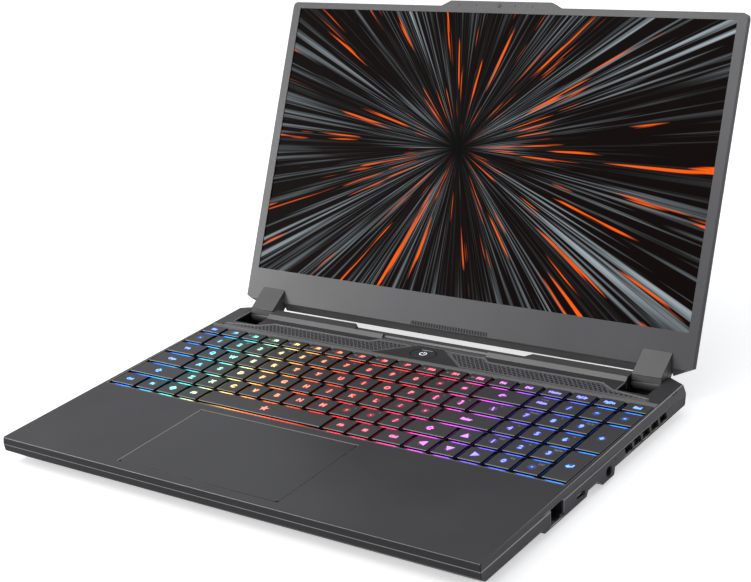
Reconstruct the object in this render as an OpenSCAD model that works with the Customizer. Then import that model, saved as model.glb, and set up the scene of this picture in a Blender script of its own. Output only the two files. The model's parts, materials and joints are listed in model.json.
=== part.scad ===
// Notebook computer: a base with a full keyboard, and a lid that swings on two offset hinge arms.
// Working frame of the modules: X across, Y from the front edge back, Z up from the deck's top.
// placed() then moves the whole to its own frame: origin under the middle, at the foot plane.

/* [Base] */
// Width of the base
base_w = 360; // [352:1:440]
// Depth of the base, front edge to rear wall
base_d = 238.5; // [236:0.5:290]
// Height of the base from the bottom cover to the deck
base_h = 16.5; // [16.5:0.5:24]
// Wall of the top case
case_wall = 1.8; // [1.2:0.1:2.4]
// Skin of the deck
deck_t = 1.6; // [1.2:0.1:2]
// Wall of the bottom cover
cover_wall = 1.5; // [1:0.1:2]
// Height of the rubber feet
foot_h = 2.5; // [1.5:0.1:4]

/* [Lid] */
// Angle between the closed and the resting open lid
open_angle = 116.4; // [90:0.1:130]
// Width of the lid
lid_w = 357.4; // [352:0.2:440]
// Thickness of the lid
lid_t = 6; // [5.4:0.1:9]
// Height of the picture area
screen_h = 193.6; // [180:0.1:230]
// Width of the picture area
screen_w = 344.2; // [320:0.1:346]
// Bezel above the picture area
bezel_top = 4.5; // [4:0.1:10]
// Chin below the picture area, down to its crease
chin_h = 23; // [22:0.1:26]
// Thickness of the bezel frame
bezel_t = 1; // [0.8:0.1:1.2]
// Gap between the closed lid and the deck
lid_gap = 0.5; // [0.5:0.1:1]
// Height of the camera hump above the lid's top edge
hump_h = 3.75; // [3:0.05:6]
// Width of the camera hump at its root
hump_w = 95; // [80:1:120]

/* [Hinge] */
// Centre of each hinge arm from the middle
arm_x = 154; // [150:0.5:158]
// Width of each hinge arm
arm_w = 20; // [16:0.5:22]
// Distance of the arm's lower front edge from the hinge axis
nose_r = 7.5; // [6.5:0.1:8]
// Radius of the arm round the pin
boss_r = 5.2; // [4:0.1:6]
// Radius of the hinge pin
pin_r = 1.5; // [1.2:0.1:1.8]
// Radial clearance of the pin in the arm
pin_clear = 0.05; // [0.02:0.01:0.1]
// Gap on each side of an arm in its pocket
arm_gap = 0.5; // [0.4:0.1:1]
// Depth of the hinge axis below the deck
axis_drop = 3.6; // [3:0.1:4]

/* [Keyboard] */
// Key pitch across
key_pitch = 18.6; // [18:0.05:18.6]
// Gap between neighbouring keys across
key_gap = 3; // [2:0.1:4]
// Key pitch from row to row
row_pitch = 18.4; // [17.5:0.1:18.4]
// Depth of a full key
key_d = 15.2; // [14:0.1:16]
// Depth of a function key
fn_key_d = 10; // [8:0.5:12]
// Thickness of a key cap
cap_t = 2; // [1.6:0.1:2.2]
// Travel of a key
key_travel = 1.5; // [1:0.1:1.6]
// Front edge of the bottom row
keys_y = 94.5; // [92:0.5:96]
// Radius of a key's plunger
plunger_r = 2; // [1.5:0.1:2.4]
// Clearance round a plunger and a button
slide_gap = 0.3; // [0.25:0.05:0.5]

/* [Touchpad and power button] */
// Width of the touchpad
pad_w = 124.2; // [90:0.2:140]
// Depth of the touchpad
pad_d = 75.1; // [50:0.1:78]
// Centre of the touchpad from the middle
pad_x = -21.7; // [-30:0.1:0]
// Front edge of the touchpad
pad_y = 8.5; // [8:0.1:12]
// Width of the power button
power_w = 18; // [12:0.5:22]
// Depth of the power button
power_d = 10; // [8:0.5:10]
// Centre of the power button
power_y = 210.8; // [209:0.1:212]

/* [Cooling] */
// Radius of the fan rotors
fan_r = 26; // [20:0.5:27]
// Number of blades on a rotor
blades = 23; // [11:2:31]
// Number of side windows
windows = 5; // [3:1:5]
// Pitch of the side windows
window_pitch = 10.7; // [10:0.1:12]
// Length of a side window
window_w = 8.4; // [6:0.1:9]
// Pitch of the deck's diamond perforations across
perf_pitch = 4.8; // [4:0.1:6]
// Pitch of the perforations front to back
perf_depth = 5.4; // [4.4:0.1:6]
// Width of the ribs between perforations
perf_rib = 1; // [0.7:0.05:1.5]

/* [Hidden] */
$fn = 48;
eps = 0.01;
hair = 0.05;         // clearance of a part seated in its opening
big = 500;

// Base levels: the side facet's crease, the front face's lower edge, the side wall's lower edge
crease_z = -4.4;
face_z = -9;
wall_z = -11.5;
bottom_z = -base_h;
floor_z = bottom_z + cover_wall;
half_w = base_w / 2;
ear_x = 165;         // where the rear corners' chamfer starts
top_in = 2.9;        // how far the deck's crease runs inward at the rear

// Hinge and lid
axis_y = base_d - 6.1;
axis_front = lid_gap + axis_drop;     // axis in front of the bezel's plane
lid_half = lid_w / 2;
foot_v = axis_y - (screen_h + bezel_top) - lid_gap;   // picture's lower edge above the axis's foot
lid_top = foot_v + screen_h + bezel_top;
crease_v = foot_v - chin_h;
tail_v = crease_v - 5;
wedge_v = crease_v + 9.7;             // where the arm rises from the chin
notch_v = crease_v + 2;               // top of the lid's notches round the arms
bezel_z = -axis_front;                // bezel's front plane, from the axis
back_z = bezel_z - lid_t;
skin = 1.6;                           // lid cover's skin
lean = 180 - open_angle;
lens_r = 1.4;
lens_v = lid_top + 0.6;               // middle of the camera's window

// Whole object's place
rear_y = axis_y + (lid_top + hump_h) * cos(lean) - back_z * sin(lean);
mid_y = rear_y / 2;
deck_h = base_h + foot_h;

// Pocket for each arm
pocket_y = axis_y - (wedge_v) - 2.4;
pocket_w = arm_w + 2 * arm_gap;
pocket_z = -axis_drop - nose_r - 0.6;
cheek_t = 1.4;
bar_y = axis_y - crease_v - 0.1;      // where the hinge cover rises from the deck

// Keyboard
keys_x = -(19 * key_pitch - key_gap) / 2;
fn_y = keys_y + 5 * row_pitch;
well_x = -keys_x + 0.8;
well_y0 = keys_y - 1.2;
well_y1 = fn_y + fn_key_d + 0.6;
plate_z = -cap_t - key_travel - 0.1;
plate_t = 0.8;
ramp = 3;                             // ramp behind the function row
front_ramp = 2.4;                     // ramp in front of the bottom row
wing_y = well_y1 + ramp + 2.1;        // front of the perforated wings
wing_rim = 0.8;                       // plain rim round the perforations
wing_t = 0.8;
pad_gap = 0.4;                        // gap round the touchpad
wing_points = [[14, 16.8], [42, 16.8], [47.5, 12], [131, 12], [141, 5.4], [167, 2], [168, 0], [35, 0]];

// Inside the base
board_z = -8.4;
board_t = 1.2;
fan_x = 128;
fan_y = pocket_y - 32.5;
window_y = fan_y - 25.7;              // front edge of the first side window
fan_tail_y = base_d - 16.5;           // where a fan's housing ends before the rear fins
screw_r = 1;
screw_spots = [[-158, 14], [-96, 14], [96, 14], [158, 14], [-150, 85.5], [150, 85.5],
    [-91, 217.4], [-50, 218.4], [50, 218.4], [91, 217.4]];

// Ports: centre along Y, centre height
rj_y = 75.8;
rj_z = -8.4;
usbc_y = 101.3;
usbc_z = -10.7;
dc_y = 133;
dc_z = -11.2;
led_y = 140.8;
usba_y = [73, 92];
usba_z = -9.9;
hdmi_y = 116;
hdmi_z = -8.35;
audio_y = 133;
audio_z = -10.4;
port_in = 20;        // depth of the port bodies
port_x = half_w - 1; // their outer faces

// A key is [left edge in pitches, width in pitches, row, rows tall]
function units(start, count, row) = [for (i = [0:count - 1]) [start + i, 1, row, 1]];
escape_key = [[0, 1, 5, 1]];
space_key = [[4.25, 5.5, 0, 1]];
enter_key = [[12.75, 2.25, 2, 1]];
backspace_key = [[13, 2, 4, 1]];
shift_left_key = [[0, 2.25, 1, 1]];
shift_right_key = [[12.25, 1.75, 1, 1]];
up_key = [[14, 1, 1, 1]];
left_key = [[13, 1, 0, 1]];
down_key = [[14, 1, 0, 1]];
right_key = [[15, 1, 0, 1]];
function_keys = units(1, 18, 5);
number_keys = units(0, 13, 4);
upper_keys = concat([[0, 1.5, 3, 1]], units(1.5, 12, 3), [[13.5, 1.5, 3, 1]]);
home_keys = concat([[0, 1.75, 2, 1]], units(1.75, 11, 2));
lower_keys = units(2.25, 10, 1);
bottom_keys = [[0, 1.25, 0, 1], [1.25, 1, 0, 1], [2.25, 1, 0, 1], [3.25, 1, 0, 1],
    [9.75, 1, 0, 1], [10.75, 1, 0, 1], [11.75, 1.25, 0, 1]];
numpad_keys = concat(units(15, 4, 4), units(15, 3, 3), units(15, 3, 2), units(15, 3, 1),
    units(16, 2, 0), [[18, 1, 2, 2], [18, 1, 0, 2]]);
all_keys = concat(escape_key, space_key, enter_key, backspace_key, shift_left_key,
    shift_right_key, up_key, left_key, down_key, right_key, function_keys, number_keys,
    upper_keys, home_keys, lower_keys, bottom_keys, numpad_keys);

function key_x(k) = keys_x + k[0] * key_pitch;
function key_w(k) = k[1] * key_pitch - key_gap;
function key_y(k) = keys_y + k[2] * row_pitch;
function key_len(k) = k[2] == 5 ? fn_key_d : key_d + (k[3] - 1) * row_pitch;
// Wide keys have two plungers
function plungers(k) = k[1] > 1.6 ? [0.25, 0.75] : [0.5];
// Point where a line from point p touches the circle round c, on side s
function touch(p, c, r, s) = let(d = norm(p - c), a = atan2(p[1] - c[1], p[0] - c[0]),
    b = acos(r / d) * s) c + r * [cos(a + b), sin(a + b)];

module placed() { translate([0, -mid_y, deck_h]) children(); }
// Lid frame: Y up the lid from the axis, Z towards the user
module on_lid() { placed() translate([0, axis_y, -axis_drop]) rotate([lean, 0, 0]) children(); }
// Extrudes an outline drawn in Y and Z along X, from x0 for a length
module along_x(x0, length) { translate([x0, 0, 0]) rotate([90, 0, 90]) linear_extrude(length) children(); }
module block(lo, hi) { translate(lo) cube(hi - lo); }
module both_sides() { children(); mirror([1, 0, 0]) children(); }

// Plan outline of the base: half widths at the front and rear, front edge, side's end, rear edge
module base_outline(front, rear, y0, y_side, y_rear) {
    cut = 0.6;
    polygon([[-front + cut, y0], [front - cut, y0], [front, y0 + cut], [rear, y_side],
        [ear_x, y_rear], [-ear_x, y_rear], [-rear, y_side], [-front, y0 + cut]]);
}

module level(z) { translate([0, 0, z]) linear_extrude(eps) children(); }

// Solid outer form of the top case, shrunk by inset, from z_top down
module case_form(inset, z_top) {
    hull() {
        level(z_top - eps) base_outline(half_w - 0.4 - inset, half_w - top_in - inset, 0.6 + inset,
            base_d - 7.5 - inset, base_d - 1 - inset);
        level(crease_z) base_outline(half_w - inset, half_w - inset, inset,
            base_d - 9.5 - inset, base_d - inset);
        level(face_z) base_outline(half_w - 0.4 - inset, half_w - 0.4 - inset, 0.3 + inset,
            base_d - 10 - inset, base_d - 0.3 - inset);
        level(wall_z) base_outline(half_w - 0.6 - inset, half_w - 0.6 - inset, 4 + inset,
            base_d - 11 - inset, base_d - 1 - inset);
    }
}

// Side windows and rear windows, cut right through the walls
module vent_windows() {
    low = -10.4;
    high = -5.2;
    slant = 1.6;
    rear_x = 62;
    rear_count = 7;
    for (i = [0:windows - 1]) along_x(-half_w - 1, base_w + 2)
        polygon([for (p = [[0, high], [window_w, high], [window_w + slant, low], [slant, low]])
            [window_y + i * window_pitch + p[0], p[1]]]);
    both_sides() for (i = [0:rear_count - 1]) translate([rear_x + i * window_pitch, base_d - 5, low + 0.2])
        cube([window_w + 0.2, 10, 3.9]);
}

// Trapezoid bumps under the side walls that carry the lower ports: four points along Y and a foot
bump_runs = [[58.5, 62.5, 107, 110, -14.6], [118, 125.5, 138.2, 140.5, -16.2]];
bump_out = 0.6;      // how far a bump's face stands inside the wall's widest line
bump_wall = 1.1;

module bumps(grow) {
    for (b = bump_runs) along_x(half_w - 13 - grow, 13 - bump_out + grow)
        polygon([[b[0] - grow, wall_z + 0.6], [b[1] - grow, b[4] - grow],
            [b[2] + grow, b[4] - grow], [b[3] + grow, wall_z + 0.6]]);
}

module bump_hollows() {
    skin = 0.7;
    for (b = bump_runs) along_x(half_w - 14, 14 - bump_out - bump_wall)
        polygon([[b[0] + 2.5, wall_z + 1], [b[1] + 1.3, b[4] + skin], [b[2] - 0.8, b[4] + skin],
            [b[3] - 1.5, wall_z + 1]]);
}

module bump_shells() {
    difference() {
        bumps(0);
        bump_hollows();
    }
}

// Openings of the ports in the right and left walls, with a clearance round each body
module right_port_cuts() {
    x0 = half_w - 8;
    block([x0, rj_y - 6.75, rj_z - 5.1], [half_w + 1, rj_y + 6.75, rj_z + 5.1]);
    along_x(x0, 10) stadium(usbc_y, usbc_z, 9.2, 3.5);
    translate([x0, dc_y, dc_z]) rotate([0, 90, 0]) cylinder(r = 3.45, h = 10);
    translate([x0, led_y, -7]) rotate([0, 90, 0]) cylinder(r = 0.6, h = 10);
}

module left_port_cuts() {
    x0 = -half_w - 1;
    for (y = usba_y) block([x0, y - 6.9, usba_z - 3.45], [x0 + 9, y + 6.9, usba_z + 3.45]);
    block([x0, hdmi_y - 7.6, hdmi_z - 2.65], [x0 + 9, hdmi_y + 7.6, hdmi_z + 2.65]);
    translate([x0, audio_y, audio_z]) rotate([0, 90, 0]) cylinder(r = 3.05, h = 10);
}

// Rounded slot outline in Y and Z
module stadium(y, z, w, h) {
    translate([y, z]) {
        square([w - h, h], center = true);
        for (s = [-1, 1]) translate([s * (w - h) / 2, 0]) circle(d = h);
    }
}

// Plan outline of the right vent wing with its plain rim, grown by more
module wing(more) { translate([0, wing_y]) offset(delta = wing_rim + more) polygon(wing_points); }

module power_shape(w, d) {
    translate([0, power_y]) {
        square([w - d, d], center = true);
        for (s = [-1, 1]) translate([s * (w - d) / 2, 0]) circle(d = d);
    }
}

module pocket_cuts(z0) {
    both_sides() block([arm_x - pocket_w / 2, pocket_y, z0], [arm_x + pocket_w / 2, base_d + 5, 2]);
}

module screw_bosses() {
    for (s = screw_spots) translate([s[0], s[1], floor_z]) difference() {
        cylinder(r = 2.4, h = -deck_t - floor_z + 0.3);
        translate([0, 0, -1]) cylinder(r = screw_r + 0.1, h = 7);
    }
}

module top_case() {
    placed() color([0.30, 0.30, 0.31]) {
        difference() {
            case_form(0, 0);
            difference() {
                case_form(case_wall, -deck_t);
                block([-big, -big, 0], [big, big, 1]);
            }
            block([-half_w + 2.6, 6, wall_z - 1], [half_w - 2.6, base_d - 3, wall_z + 1]);
            block([-well_x, well_y0, plate_z], [well_x, well_y1, 1]);
            along_x(-well_x, 2 * well_x) {
                polygon([[well_y1 - 0.1, 0.5], [well_y1 - 0.1, -deck_t + 0.2], [well_y1 + ramp, 0],
                    [well_y1 + ramp, 0.5]]);
                polygon([[well_y0 + 0.1, 0.5], [well_y0 + 0.1, -deck_t + 0.2], [well_y0 - front_ramp, 0],
                    [well_y0 - front_ramp, 0.5]]);
            }
            block([pad_x - pad_w / 2 - pad_gap, pad_y - pad_gap, -3],
                [pad_x + pad_w / 2 + pad_gap, pad_y + pad_d + pad_gap, 1]);
            translate([0, 0, -3]) linear_extrude(4)
                power_shape(power_w + 2 * slide_gap, power_d + 2 * slide_gap);
            both_sides() translate([0, 0, -3]) linear_extrude(4) wing(0);
            block([-arm_x + pocket_w / 2, bar_y, wall_z - 1], [arm_x - pocket_w / 2, base_d + 5, 2]);
            pocket_cuts(wall_z - 2);
            vent_windows();
            right_port_cuts();
            left_port_cuts();
        }
        difference() {
            both_sides() bump_shells();
            right_port_cuts();
            left_port_cuts();
        }
        screw_bosses();
    }
}

// Bar behind the vents that covers the hinge line, and the rear wall with its exhaust windows.
// A front ridge runs each side of a set-back middle; the full height starts further out, at a diagonal
module hinge_cover() {
    end_x = arm_x - pocket_w / 2 - 0.1;
    mid = 42;
    step = 64;
    tall = 75;
    y0 = bar_y + 0.1;
    rear = base_d - 0.2;
    low_z = crease_z - 0.75;
    high = 2.3;
    low = 1;
    wall = 1.2;
    ridge = [[y0, low_z], [y0, 0], [y0 + 2.8, high], [y0 + 4.1, low], [base_d - 9.5, low], [rear, -3.4],
        [rear, low_z]];
    full = [[y0, low_z], [y0, 0], [y0 + 2.8, high], [base_d - 6, high], [rear, -3.4], [rear, low_z]];
    middle = [[y0, low_z], [y0, 0], [y0 + 2.8, 0], [y0 + 3.8, low], [base_d - 9.5, low], [rear, -3.4],
        [rear, low_z]];
    placed() color([0.36, 0.36, 0.36]) difference() {
        union() {
            both_sides() along_x(mid, end_x - mid) polygon(ridge);
            both_sides() intersection() {
                along_x(mid + 1, end_x - mid - 1) polygon(full);
                translate([0, 0, low_z - 1]) linear_extrude(10)
                    polygon([[step, y0 - 1], [end_x + 1, y0 - 1], [end_x + 1, rear + 1], [tall, rear + 1]]);
            }
            along_x(-mid - eps, 2 * mid + 2 * eps) polygon(middle);
            along_x(-end_x, 2 * end_x)
                polygon([[base_d - 2.4, wall_z + 0.3], [base_d - 1, wall_z + 0.3], [base_d - 0.3, face_z],
                    [rear, low_z + 0.5], [base_d - 2.4, low_z + 0.5]]);
        }
        both_sides() along_x(tall + 3, end_x - tall - 2)
            polygon([[y0 + wall, low_z - 1], [y0 + wall, -0.8], [y0 + 3.4, high - wall],
                [base_d - 6.6, high - wall], [base_d - 1.6, -3.8], [base_d - 1.6, low_z - 1]]);
        along_x(-step, 2 * step)
            polygon([[y0 + wall, low_z - 1], [y0 + wall, -wall], [base_d - 10, -wall], [base_d - 3, -4],
                [base_d - 3, low_z - 1]]);
        vent_windows();
    }
}

module bottom_form(inset) {
    hull() {
        level(wall_z - 0.2 - eps) base_outline(half_w - 0.6 - inset, half_w - 0.6 - inset, 4 + inset,
            base_d - 11 - inset, base_d - 1 - inset);
        level(bottom_z + inset) base_outline(half_w - 10 - inset, half_w - 10 - inset, 10 + inset,
            base_d - 14 - inset, base_d - 8.5 - inset);
    }
}

// Row of slots through the bottom cover, each across the row
module slot_row(x, y, count, length, pitch) {
    slot_w = 1.6;
    for (i = [0:count - 1]) translate([x, y + i * pitch, bottom_z - 1])
        cube([length, slot_w, cover_wall + 2]);
}

module bottom_cover() {
    placed() color([0.16, 0.16, 0.17]) difference() {
        bottom_form(0);
        difference() {
            bottom_form(cover_wall);
            block([-big, -big, wall_z - 0.2], [big, big, 0]);
        }
        rim_opening();
        both_sides() bumps(0.25);
        both_sides() for (c = [0:3]) slot_row(98 + c * 15.5, fan_y - 22, 12, 13, 3.8);
        both_sides() for (c = [0:1]) slot_row(118 + c * 18, 26, 6, 14, 3.2);
        pocket_cuts(pocket_z - 1.2);
        for (s = screw_spots) translate([s[0], s[1], bottom_z - 1]) {
            cylinder(r = screw_r + 0.2, h = 4);
            cylinder(r = 2.4, h = 1.9);
        }
    }
}

// Opens the tray at its rim, inside the wall
module rim_opening() {
    block([-half_w + 4, 8, wall_z - 1.2], [half_w - 4, base_d - 14, wall_z + 1]);
}

// True where a point lies inside an outline: an odd number of its edges cross to the point's right
function crosses(p, a, b) = (a[1] > p[1]) != (b[1] > p[1])
    && p[0] < a[0] + (p[1] - a[1]) / (b[1] - a[1]) * (b[0] - a[0]);
function inside(p, outline) = len([for (i = [0:len(outline) - 1])
    if (crosses(p, outline[i], outline[(i + 1) % len(outline)])) 1]) % 2 == 1;
// Corners of a diamond round c
function diamond(c, w, d) = [[c[0] - w, c[1]], [c[0], c[1] - d], [c[0] + w, c[1]], [c[0], c[1] + d]];

// Sheet with a lattice of whole diamonds inside the wing
module vent_grille(side) {
    share = 1 - perf_rib * norm([perf_pitch, perf_depth]) / (perf_pitch * perf_depth);
    w = share * perf_pitch / 2;
    d = share * perf_depth / 2;
    rows = floor(wing_points[0][1] / perf_depth * 2);
    columns = floor(wing_points[6][0] / perf_pitch);
    placed() color([0.27, 0.27, 0.28]) scale([side, 1, 1]) translate([0, 0, -wing_t]) linear_extrude(wing_t)
        difference() {
            wing(-hair);
            for (r = [0:rows]) for (i = [0:columns]) {
                hole = diamond([(i + (r % 2) / 2) * perf_pitch, d + 0.05 + r * perf_depth / 2], w, d);
                if (len([for (p = hole) if (inside(p, wing_points)) 1]) == 4)
                    translate([0, wing_y]) polygon(hole);
            }
        }
}

module foot(x, y, length, width) {
    translate([x, y, -deck_h]) {
        translate([-(length - width) / 2, -width / 2, 0]) cube([length - width, width, foot_h]);
        for (s = [-1, 1]) translate([s * (length - width) / 2, 0, 0]) cylinder(d = width, h = foot_h);
    }
}

module rubber_feet() {
    placed() color([0.1, 0.1, 0.1]) {
        for (s = [-1, 1]) foot(s * 127, 19.5, 50, 6);
        foot(0, base_d - 27, 150, 7);
    }
}

module bottom_screws() {
    placed() color([0.2, 0.2, 0.2]) for (s = screw_spots) translate([s[0], s[1], bottom_z + 0.1]) {
        difference() {
            cylinder(r = 2.2, h = 0.75);
            translate([0, 0, -eps]) cylinder(r = 1.1, h = 0.4, $fn = 6);
        }
        cylinder(r = screw_r, h = 6.2);
    }
}

module keyboard_plate() {
    x = well_x + 1;
    placed() color([0.05, 0.05, 0.06]) {
        translate([0, 0, plate_z - plate_t]) linear_extrude(plate_t) difference() {
            translate([-x, well_y0 - 2]) square([2 * x, well_y1 - well_y0 + 4]);
            for (k = all_keys) for (f = plungers(k))
                translate([key_x(k) + f * key_w(k), key_y(k) + key_len(k) / 2])
                    circle(r = plunger_r + slide_gap);
        }
        for (y = [well_y0 - 2, well_y1 + 0.2])
            block([-x + 2.5, y, plate_z], [x - 2.5, y + 1.8, -deck_t - hair]);
    }
}

module keys(list) {
    cut = 0.8;
    placed() color([0.20, 0.20, 0.21]) for (k = list) {
        w = key_w(k);
        d = key_len(k);
        translate([key_x(k), key_y(k), 0]) {
            translate([0, 0, -cap_t]) linear_extrude(cap_t)
                polygon([[cut, 0], [w - cut, 0], [w, cut], [w, d - cut], [w - cut, d], [cut, d],
                    [0, d - cut], [0, cut]]);
            for (f = plungers(k)) translate([f * w, d / 2, plate_z - 0.6])
                cylinder(r = plunger_r, h = -plate_z - cap_t + 0.7);
        }
    }
}

module motherboard() {
    wing_x = half_w - port_in + 3;
    placed() color([0.05, 0.2, 0.12]) translate([0, 0, board_z]) linear_extrude(board_t) difference() {
        polygon([[-wing_x, 66], [wing_x, 66], [wing_x, 127], [90, 137], [90, 213], [-90, 213], [-90, 137],
            [-wing_x, 127]]);
        for (s = screw_spots) translate(s) circle(r = 3);
        translate([half_w - port_in - 1.5, rj_y - 7]) square([20, 14]);
        for (y = usba_y) translate([-half_w - 4, y - 7]) square([port_in + 5.5, 14]);
        translate([-half_w - 4, hdmi_y - 8]) square([port_in + 5.5, 16]);
    }
}

module chip(x, y) {
    placed() translate([x, y, board_z]) {
        color([0.1, 0.3, 0.2]) translate([-16, -16, -0.8]) cube([32, 32, 0.8]);
        color([0.7, 0.7, 0.72]) translate([-8, -7, -1.35]) cube([16, 14, 0.6]);
    }
}

module processor() { chip(-32, 160); }
module graphics_chip() { chip(34, 160); }

// Flat bar between two points with round ends
module flat_run(a, b, w) {
    d = b - a;
    translate(a) rotate(atan2(d[1], d[0])) translate([0, -w / 2]) square([norm(d), w]);
    translate(a) circle(d = w - 0.1);
    translate(b) circle(d = w - 0.1);
}

module heat_route(points) {
    for (i = [0:len(points) - 2]) flat_run(points[i], points[i + 1], 6);
}

module heat_pipes() {
    front_y = fan_y - 33.2;
    side_x = half_w - 8;
    rear = base_d - 10.5;
    z = board_z - 1.4 - 2.4;
    placed() color([0.72, 0.42, 0.28]) translate([0, 0, z]) linear_extrude(2.4) {
        for (s = [-1, 1]) {
            heat_route([[s * 10, 156], [s * 40, 156], [s * 78, front_y], [s * (side_x - 4), front_y],
                [s * side_x, fan_y - 27], [s * side_x, fan_y + 26]]);
            heat_route([[s * 10, 166], [s * 45, 166], [s * 60, rear - 23], [s * 72, rear], [s * 138, rear]]);
        }
        translate([-47, 145]) square([96, 29]);
    }
}

// Fin stacks behind the side windows and the rear windows
module fins(side) {
    top = -6.2;
    z = board_z - 1.3;
    pitch = 2;
    fin_t = 0.3;
    base_t = 0.4;
    side_x = 167.5;
    side_y = fan_y - 27;
    side_count = 28;
    rear_x = 64;
    rear_count = 38;
    placed() color([0.75, 0.76, 0.78]) scale([side, 1, 1]) {
        block([side_x, side_y, z], [half_w - 3.2, side_y + 2 * side_count - 1, z + base_t]);
        for (i = [0:side_count - 1]) translate([0, side_y + 0.2 + i * pitch, z + base_t - 0.1])
            block([side_x, 0, 0], [half_w - 3.2, fin_t, top - z - base_t + 0.1]);
        block([rear_x, base_d - 14.5, z], [rear_x + 2 * rear_count, base_d - 4, z + base_t]);
        for (i = [0:rear_count - 1]) translate([rear_x + 0.2 + i * pitch, 0, z + base_t - 0.1])
            block([0, base_d - 14.5, 0], [fin_t, base_d - 4, top - z - base_t + 0.1]);
    }
}

module heatsink_left() { fins(-1); }
module heatsink_right() { fins(1); }

fan_low = -14.4;
fan_high = -6.5;
fan_wall = 0.8;

// Plan of a fan's housing, shrunk by s, with a tail that blows through the rear fins
module housing_plan(s) {
    front = fan_y - 30 + s;
    back = fan_y + 29 - s;
    polygon([[97 + s, front], [165 - s, front], [165 - s, back], [138 - s, back], [138 - s, fan_tail_y],
        [97 + s, fan_tail_y]]);
}

module fan_housing(side) {
    inlet = fan_r - 4;
    placed() color([0.08, 0.08, 0.09]) scale([side, 1, 1]) {
        difference() {
            translate([0, 0, fan_low]) linear_extrude(fan_high - fan_low) housing_plan(0);
            translate([0, 0, fan_low + fan_wall]) linear_extrude(fan_high - fan_low - 2 * fan_wall)
                housing_plan(1);
            block([160, fan_y - 25, fan_low + fan_wall], [170, fan_y + 24, fan_high - fan_wall]);
            block([98, fan_tail_y - 7, fan_low + fan_wall], [137, fan_tail_y + 3, fan_high - fan_wall]);
            translate([fan_x, fan_y, fan_high - 2]) cylinder(r = inlet, h = 3);
            translate([fan_x, fan_y, fan_low - 1]) difference() {
                cylinder(r = inlet, h = 3);
                cylinder(r = 9, h = 3);
                for (a = [90, 210, 330]) rotate(a) translate([0, -2, 0]) cube([fan_r, 4, 3]);
            }
        }
        translate([fan_x, fan_y, fan_low + 0.2]) cylinder(r = pin_r, h = 6);
    }
}

module fan_rotor(side) {
    hub = 9;
    placed() color([0.12, 0.12, 0.13]) scale([side, 1, 1])
        translate([fan_x, fan_y, fan_low + fan_wall + 0.5]) difference() {
            union() {
                cylinder(r = hub, h = 5.4);
                linear_extrude(4.6) for (i = [0:blades - 1]) rotate(i * 360 / blades)
                    translate([hub - 1, 0]) rotate(-18) square([fan_r - hub - 0.2, 0.8]);
            }
            translate([0, 0, -1]) cylinder(r = pin_r + pin_clear, h = 8);
        }
}

module battery() {
    placed() color([0.09, 0.09, 0.1]) for (i = [0:3])
        block([-104 + i * 52.1, 20, floor_z + 0.2], [-104 + i * 52.1 + 52, 62, -5.5]);
}

module memory_modules() {
    placed() color([0.05, 0.28, 0.14]) for (x = [-70, 2]) {
        block([x, 80, board_z - 4], [x + 67.6, 86, board_z]);
        block([x, 85.8, board_z - 3.6], [x + 67.6, 112, board_z - 2.4]);
        for (i = [0:3]) block([x + 4 + i * 16, 92, board_z - 4.5], [x + 16 + i * 16, 104, board_z - 3.5]);
    }
}

module storage_drives() {
    placed() color([0.1, 0.12, 0.3]) for (y = [90, 114]) {
        block([-142, y, board_z - 3.2], [-137, y + 22, board_z]);
        block([-137.2, y, board_z - 2.4], [-76, y + 22 - (y > 100 ? 8 : 0), board_z - 1.6]);
        for (x = [-130, -104]) block([x, y + 1.5, board_z - 3.4], [x + 20, y + 13, board_z - 2.3]);
    }
}

module wireless_card() {
    placed() color([0.3, 0.32, 0.3]) {
        block([86, 96, board_z - 3], [90, 118, board_z]);
        block([89.8, 96, board_z - 2.2], [118, 118, board_z - 1.4]);
        block([94, 99, board_z - 3.4], [112, 115, board_z - 2.1]);
    }
}

module speaker(side) {
    placed() color([0.07, 0.07, 0.08]) scale([side, 1, 1]) difference() {
        block([113, 22, floor_z + 0.2], [163, 60, -6]);
        translate([138, 41, floor_z - 1]) cylinder(r = 13, h = 2.5);
    }
}

module touchpad() {
    cut = 2.2;
    w = pad_w / 2;
    d = pad_d;
    placed() color([0.24, 0.24, 0.26]) translate([pad_x, pad_y, -1.7]) linear_extrude(1.5)
        polygon([[-w + cut, 0], [w - cut, 0], [w - cut / 3, cut / 3], [w, cut], [w, d - cut],
            [w - cut / 3, d - cut / 3], [w - cut, d], [-w + cut, d], [-w + cut / 3, d - cut / 3],
            [-w, d - cut], [-w, cut], [-w + cut / 3, cut / 3]]);
}

// Tray under the touchpad, with the strip that it rocks on and the switch that it presses
module touchpad_frame() {
    x0 = pad_x - pad_w / 2;
    x1 = pad_x + pad_w / 2;
    rim = 2.4;
    placed() color([0.5, 0.5, 0.52]) {
        difference() {
            block([x0 - 3, pad_y - 2.8, -3.6], [x1 + 3, pad_y + pad_d + 3, -deck_t - hair]);
            block([x0 - 0.8, pad_y - 0.8, -2.9], [x1 + 0.8, pad_y + pad_d + 0.8, 0]);
        }
        block([x0 + 4, pad_y + pad_d - 1.6, -3], [x1 - 4, pad_y + pad_d - 0.4, -1.75]);
        translate([pad_x, pad_y + 10, -3]) cylinder(r = rim, h = 0.8);
    }
}

module power_button() {
    placed() color([0.35, 0.35, 0.36]) {
        translate([0, 0, -2.2]) linear_extrude(2.1) power_shape(power_w, power_d);
        translate([0, 0, -3]) linear_extrude(1) power_shape(power_w + 2.4, power_d + 2);
        translate([0, power_y, board_z + board_t + 0.75]) cylinder(r = 1.8, h = 4);
    }
}

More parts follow.
